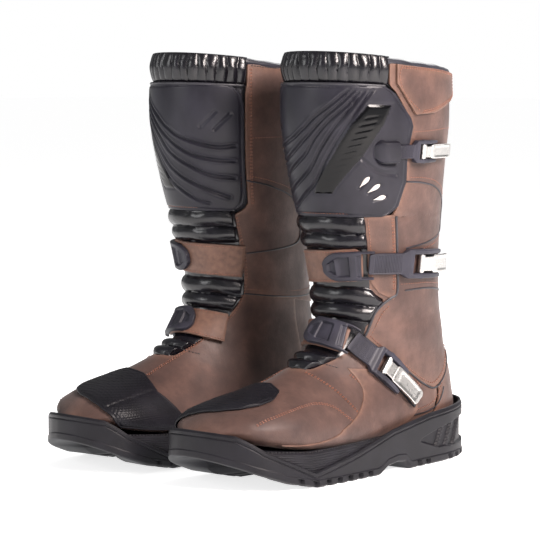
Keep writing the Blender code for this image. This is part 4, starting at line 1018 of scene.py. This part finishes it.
def sole_outline(count):
    """The last's convex outline from above: point = h * n + h' * t, with h the support in direction n."""
    s, th = np.meshgrid(np.linspace(5.6, TOE, 300), np.arange(0, 360, 2.0), indexing="ij")
    points = last_point(s, th).reshape(-1, 3)
    points = points[points[:, 2] < WELT_TOP][:, :2]
    turn = np.linspace(0, 2 * math.pi, 1440, endpoint=False)
    ahead = np.stack([np.cos(turn), np.sin(turn)], -1)
    support = smoothed_round((points @ ahead.T).max(0), 15)
    slope = (np.roll(support, -1) - np.roll(support, 1)) / (2 * (turn[1] - turn[0]))
    curve = ahead * support[:, None] + np.stack([-ahead[:, 1], ahead[:, 0]], -1) * slope[:, None]
    closed = np.vstack([curve, curve[:1]])
    length = run_length(closed)
    places = np.linspace(0, length[-1], count, endpoint=False)
    around = np.interp(places, length, np.append(turn, 2 * math.pi))
    plan = np.stack([np.interp(places, length, closed[:, k]) for k in (0, 1)], -1)
    return plan, np.stack([np.cos(around), np.sin(around)], -1)


OUTLINE, OUTLINE_NORMAL = sole_outline(460)


def leather_depth():
    """Depth of the leather inside the outline at the height of the welt, round the whole outline."""
    s, th = np.meshgrid(np.linspace(5.2, TOE - 0.02, 420), np.arange(0, 360, 1.5), indexing="ij")
    points = last_point(s, th).reshape(-1, 3)
    near = points[np.abs(points[:, 2] - through(WELT_LINE, -points[:, 1] / MM) * MM) < 1.2 * MM][:, :2]
    offset = near[:, None] - OUTLINE[None]
    index = (offset ** 2).sum(-1).argmin(1)
    depth = -((near - OUTLINE[index]) * OUTLINE_NORMAL[index]).sum(-1)
    order = np.argsort(index)
    index, depth = index[order], depth[order]
    count = len(OUTLINE)
    spread = np.interp(np.arange(count), np.concatenate([index - count, index, index + count]),
                       np.concatenate([depth, depth, depth]))
    return smoothed_round(spread, 25)


LEATHER_DEPTH = leather_depth()


def sole_rings(grow, height):
    """Rings round the sole: the outline moved out by grow, at heights in metres; both (rings, points)."""
    grow, height, _ = np.broadcast_arrays(np.atleast_2d(grow), np.atleast_2d(height), OUTLINE[None, :, 0])
    plan = OUTLINE[None] + OUTLINE_NORMAL[None] * grow[..., None]
    return np.concatenate([plan, height[..., None]], -1)


def along_foot(table, grow=0.0):
    """A height table read round the outline, in metres."""
    return through(table, -(OUTLINE[:, 1] + OUTLINE_NORMAL[:, 1] * grow) / MM) * MM


def build_midsole(side):
    """Foam wedge that shows as a band of fine ribs between the cup and the leather."""
    low, top = along_foot(TRAY) + 0.6 * MM, along_foot(WELT_LINE)
    v = np.linspace(0, 1, 100)[:, None]
    z = low + (top - low) * v
    below = (top - z) / MM
    ribs = 0.55 * np.abs(np.sin(math.pi * below / 2.1)) ** 0.7 * smoothstep(0.4, 1.2, below)
    bulge = 0.9 * np.sin(math.pi * np.clip(below / 16, 0, 1))
    grow = (3.3 + bulge + ribs - 0.9 * smoothstep(1.4, 0.0, below)) * MM
    rim = np.linspace(0, 1, 14)[:, None]
    rim_grow = 2.4 * MM + (-LEATHER_DEPTH - 0.5 * MM - 2.4 * MM) * rim
    rim_z = top + 0.5 * MM * np.sin(math.pi * np.minimum(rim * 1.6, 1)) + 0.9 * MM * rim ** 3
    rings = np.concatenate([sole_rings(-20 * MM, low), sole_rings(grow, z), sole_rings(rim_grow, rim_z),
                            sole_rings(-LEATHER_DEPTH - 2.5 * MM, top - 3 * MM)])
    piece("midsole_band", ring_body(rings), side, BODY[side], FOAM, ("midsole",), sharp=70)

    # Welt seam
    points = np.concatenate([OUTLINE + OUTLINE_NORMAL * 1.9 * MM, (top + 0.75 * MM)[:, None]], -1)
    stitch_path(side, BODY[side], "dark", np.vstack([points, points[:1]]),
                np.tile([0.0, 0.0, 1.0], (len(points) + 1, 1)), pitch=3.4 * MM)


def build_outsole(side):
    """Cup sole: lugs cut up its side, a lip over them, an angular hollow in the heel with slanting ribs."""
    f = -(OUTLINE[:, 1] + OUTLINE_NORMAL[:, 1] * CUP_OUT) / MM
    tread, tray, rim = (along_foot(table, CUP_OUT) for table in (TREAD, TRAY, CUP_EDGE))
    v = np.concatenate([np.linspace(0, 0.35, 34), np.linspace(0.36, 1, 70)])[:, None]
    z = tread + 0.5 * MM + (rim - tread - 0.5 * MM) * v
    high = (z - tread) / MM
    grow = CUP_OUT / MM - 2.6 * (1 - smoothstep(0.0, 3.0, high)) ** 2 - 0.6 * smoothstep(6.4, 7.4, high) \
        - 1.2 * smoothstep(0.93, 1.0, v)
    grow = grow - 0.7 * np.exp(-((rim - z) / MM - 4.2) ** 2 / 0.35) * smoothstep(4, 8, high)
    slots = sum(smoothstep(2.9, 2.1, np.abs(f - place - 0.25 * high)) for place in LUGS)
    solid = smoothstep(0.6, 0.2, np.abs(f - 101) / 17)
    grow = grow - 3.4 * np.clip(slots, 0, 1) * smoothstep(6.2, 5.4, high) * (1 - solid)
    low, top = through(RECESS_LOW, f), through(RECESS_HIGH, f)
    inside = smoothstep(0, 1.4, z / MM - low) * smoothstep(0, 1.4, top - z / MM) * smoothstep(-30, -27, f) \
        * smoothstep(70, 67, f)
    slant = f + 0.55 * z / MM
    ribs = np.clip(sum(smoothstep(2.6, 1.9, np.abs(slant - place)) for place in HOLLOW_RIBS), 0, 1)
    grow = (grow - 2.4 * inside * (1 - 0.8 * ribs)) * MM
    wall = sole_rings(grow, z)
    reach = np.linspace(0, 1, 18)[1:, None]
    lug_floor = np.clip(slots, 0, 1)[0] * (1 - solid)
    bottom = sole_rings(grow[:1] * (1 - reach) + (-24 * MM) * reach,
                        tread + 0.5 * MM * (1 - np.minimum(reach * 12, 1)) + 3.4 * MM * lug_floor
                        * smoothstep(0.0, 0.1, reach))
    rings = np.concatenate([bottom[::-1], wall, sole_rings(CUP_OUT - 2.6 * MM, rim + 0.2 * MM),
                            sole_rings(4.2 * MM, rim - 0.4 * MM), sole_rings(4.1 * MM, tray),
                            sole_rings(-24 * MM, tray)])
    piece("cup_sole", ring_body(rings), side, BODY[side], RUBBER, ("outsole",), sharp=35)


# ---------------------------------------------------------------------------- closures

# Track, half widths of band, fork and lever, low face of the root, end of the lever, start of the catch
CLOSURES = {
    "top": ([(0, 1.53, 70), (1, 1.53, 90), (2.6, 1.53, 124), (4, 1.53, 150)],
            6 * MM, 9.5 * MM, 6 * MM, 4.6 * MM, 2.3, 1.35),
    "mid": ([(0, 3.48, 43), (1, 3.48, 91), (1.6, 3.48, 119), (3, 3.48, 168)],
            9.5 * MM, 12.5 * MM, 7.8 * MM, 4.2 * MM, 2.1, 1.15),
    "low": ([(0, 5.66, 32), (1, 6.28, 61), (1.6, 6.72, 76), (3, 7.5, 104)],
            9.5 * MM, 12.5 * MM, 7.8 * MM, 4.2 * MM, 2.25, 1.15),
}
PIN_HEIGHT = 4.9 * MM
KNUCKLE = 2.75 * MM
LEVER_TOP = PIN_HEIGHT + KNUCKLE
BAND = 2.8 * MM


def hinge_of(track):
    """Middle of the pin, with unit vectors along the pin and out of the boot."""
    centre, across, up = track_frame(track, np.array([1.0]))
    return centre + up * PIN_HEIGHT, across, up


def band_relief(t, x, half):
    """Fine ribs across the band, sunk between two raised borders."""
    beside = np.abs(x)
    field = smoothstep(0.08, 0.1, t) * smoothstep(0.62, 0.6, t) * smoothstep(half * 0.86, half * 0.8, beside)
    line = np.abs(np.sin(t * math.pi * 34)) ** 0.6
    return -0.45 * MM * field * line + 0.25 * MM * smoothstep(half * 0.8, half * 0.9, beside) * (t < 0.62)


def lever_relief(t, x, half, end):
    """Shallow dish in the thumb plate."""
    return -0.35 * MM * smoothstep(half * 0.8, half * 0.55, np.abs(x)) * smoothstep(1.34, 1.42, t) \
        * smoothstep(end - 0.12, end - 0.2, t)


def build_band(side, name, track, band_half, fork_half, lever_half, root):
    """Strap end with a rounded root and fine ribs, a thick bridge, and a fork that holds the pin."""
    low = 2.4 * MM
    t = np.concatenate([np.linspace(0, 0.1, 10), np.linspace(0.11, 0.64, 120), np.linspace(0.65, 0.83, 24)])
    half = through([(0, 0.82), (0.03, 0.93), (0.3, 0.95), (0.62, 0.95)], t) * band_half
    half = half + (fork_half - half) * smoothstep(0.63, 0.75, t)
    under = np.where(t < 0.3, root + (low - root) * t / 0.3, low) - 0.4 * MM * smoothstep(0.62, 0.75, t)
    top = under + BAND
    top = top + (LEVER_TOP - 0.3 * MM - top) * smoothstep(0.62, 0.76, t)
    parts = [ribbon(track, t, half, under, top, 40, 0.7 * MM,
                    lambda along, x: band_relief(along, x, band_half))]

    # Arms of the fork, each with a boss over its end of the pin
    t = np.linspace(0.80, 1.56, 40)
    arm_low = through([(0.8, 2.0), (1.2, 2.0), (1.56, 2.9)], t) * MM
    arm_top = LEVER_TOP - through([(0.8, 0.3), (1.16, 0.0), (1.36, 1.0), (1.56, 2.0)], t) * MM
    inner = lever_half + 0.45 * MM
    arm = (fork_half - inner) / 2
    arm_half = arm * through([(0.8, 1), (1.3, 1), (1.5, 0.9), (1.56, 0.6)], t)
    pin, across, up = hinge_of(track)
    boss_out = fork_half + np.array([-1.2, 0.0, 0.35, 0.6])[:, None] * MM
    boss_radius = np.array([2.5, 2.5, 2.3, 1.6]) * MM
    for row in (-1, 1):
        parts.append(ribbon(track, t, arm_half, arm_low, arm_top, 10, 0.9 * MM, aside=row * (inner + arm)))
        parts.append(round_tube(pin + across * row * boss_out, np.tile(up, (4, 1)), boss_radius, 20))
    piece(f"band_{name}_moulding", joined(*parts), side, f"{side}_band_{name}", NYLON,
          (f"band_{name}",), sharp=45)


def build_lever(side, name, track, lever_half, lever_end, catch):
    """Lever: rolled round the pin, a narrow tongue, a step, then the thumb plate; a hook below it."""
    low = LEVER_TOP - 2.1 * MM
    round_end = lever_end - 0.1
    t = np.concatenate([np.linspace(1.0, 1.22, 16), np.linspace(1.225, 1.26, 6),
                        np.linspace(1.28, round_end, 50),
                        round_end + 0.1 * np.sin(np.linspace(0.1, math.pi / 2, 12))])
    near_end = np.clip((t - round_end) / 0.1, 0, 1)
    half = lever_half * (0.80 + 0.20 * smoothstep(1.22, 1.27, t)) * np.sqrt(1 - 0.72 * near_end ** 2.4)
    top = LEVER_TOP - 0.45 * MM * smoothstep(1.27, 1.22, t) * smoothstep(1.0, 1.05, t)
    pin, across, up = hinge_of(track)
    knuckle = pin + across * np.linspace(-1, 1, 9)[:, None] * lever_half * 0.96
    hook = np.linspace(catch + 0.2, catch + 0.32, 6)
    lever = joined(ribbon(track, t, half, low, top, 26, 0.5 * MM,
                          lambda along, x: lever_relief(along, x, lever_half, lever_end)),
                   round_tube(knuckle, np.tile(up, (9, 1)), KNUCKLE, 28),
                   ribbon(track, hook, lever_half * 0.55, 4.2 * MM, low + 0.8 * MM, 6, 0.2 * MM))
    piece(f"lever_{name}_plate", lever, side, f"{side}_lever_{name}", SILVER, (f"lever_{name}",),
          sharp=35)


def build_closures(side):
    """Moulded bands with their forks, plated levers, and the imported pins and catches."""
    for name, (track, band_half, fork_half, lever_half, root, lever_end, catch) in CLOSURES.items():
        refinish(f"{side}_pin_{name}", STEEL)
        refinish(f"{side}_catch_{name}", RUBBER)
        build_band(side, name, track, band_half, fork_half, lever_half, root)
        build_lever(side, name, track, lever_half, lever_end, catch)


# ---------------------------------------------------------------------------- the pair

for side in ("left", "right"):
    for build in (build_leather, build_flap, build_plate, build_cuff, build_bellows, build_straps, build_pad,
                  build_midsole, build_outsole, build_closures):
        build(side)
    refinish(f"{side}_bootie", MESH).data.shade_smooth()
    refinish(f"{side}_footbed", MESH)
    refinish(f"{side}_shank", STEEL)

for (side, body, colour), runs in THREADS.items():
    piece(f"{colour}_stitches_{body}", joined(*runs), side, body, THREAD_FINISH[colour],
          sharp=80)
for (side, body), runs in CORDS.items():
    piece(f"dark_piping_{body}", joined(*runs), side, body, GREY_CORD, sharp=80)

# ---------------------------------------------------------------------------- studio

FLOOR = 30
floor_mesh = bpy.data.meshes.new("floor")
floor_mesh.from_pydata([(-FLOOR, -FLOOR, 0), (FLOOR, -FLOOR, 0), (FLOOR, FLOOR, 0), (-FLOOR, FLOOR, 0)], [],
                       [(0, 1, 2, 3)])
floor = bpy.data.objects.new("floor", floor_mesh)
bpy.context.scene.collection.objects.link(floor)
# Matt paper, lit from below by a little of its own light, so that it stays white to its far edge
PAPER, tree, _ = finish_of("white_seamless_paper")
close(tree, node(tree, "ShaderNodeBsdfPrincipled", {
    "Base Color": paint("f6f6f6"), "Roughness": 0.8, "Emission Color": paint("ffffff"),
    "Emission Strength": 0.75}))
floor_mesh.materials.append(PAPER)


def softbox(name, place, target, size, power, colour="ffffff"):
    """Square lamp, turned from its place to the target; power in watts."""
    lamp = bpy.data.lights.new(name, "AREA")
    lamp.shape, lamp.size, lamp.energy, lamp.color = "SQUARE", size, power, paint(colour)[:3]
    made = bpy.data.objects.new(name, lamp)
    made.location = place
    made.rotation_euler = (Vector(target) - Vector(place)).to_track_quat("-Z", "Y").to_euler()
    bpy.context.scene.collection.objects.link(made)


softbox("key", (1.7, -0.1, 1.2), (0, 0, 0.15), 0.7, 74, "fff3ee")
softbox("front_fill", (-0.6, -1.9, 0.9), (0, 0, 0.15), 0.9, 12)
softbox("rear_rim", (-0.3, 1.5, 1.5), (0, 0, 0.2), 0.8, 14)

# The world lights the boots softly and is white where the camera sees it
world = bpy.data.worlds.new("studio")
bpy.context.scene.world = world
world.use_nodes = True
tree = world.node_tree
tree.nodes.clear()
seen = node(tree, "ShaderNodeLightPath").outputs["Is Camera Ray"]
strength = node(tree, "ShaderNodeMapRange", {"Value": seen, "To Min": 0.26, "To Max": 1.0})
sky = node(tree, "ShaderNodeBackground", {"Color": paint("ffffff"), "Strength": strength.outputs["Result"]})
node(tree, "ShaderNodeOutputWorld", {"Surface": sky.outputs["Background"]})

bpy.context.scene.view_settings.view_transform = "Standard"

camera = bpy.data.objects.new("camera", bpy.data.cameras.new("camera"))
bpy.context.scene.collection.objects.link(camera)
TARGET = Vector((0, 0.0183, 0.175))
CAMERA_TURN = math.radians(44)
CAMERA_REACH = 2.1
CAMERA_HEIGHT = 0.335
camera.location = (math.sin(CAMERA_TURN) * CAMERA_REACH, 0.0183 - math.cos(CAMERA_TURN) * CAMERA_REACH,
                   CAMERA_HEIGHT)
camera.rotation_euler = (TARGET - camera.location).to_track_quat("-Z", "Y").to_euler()
camera.data.lens = 159.67
camera.data.sensor_width = 36
camera.data.shift_x, camera.data.shift_y = -0.0083, -0.0176
bpy.context.scene.camera = camera

bpy.context.view_layer.update()
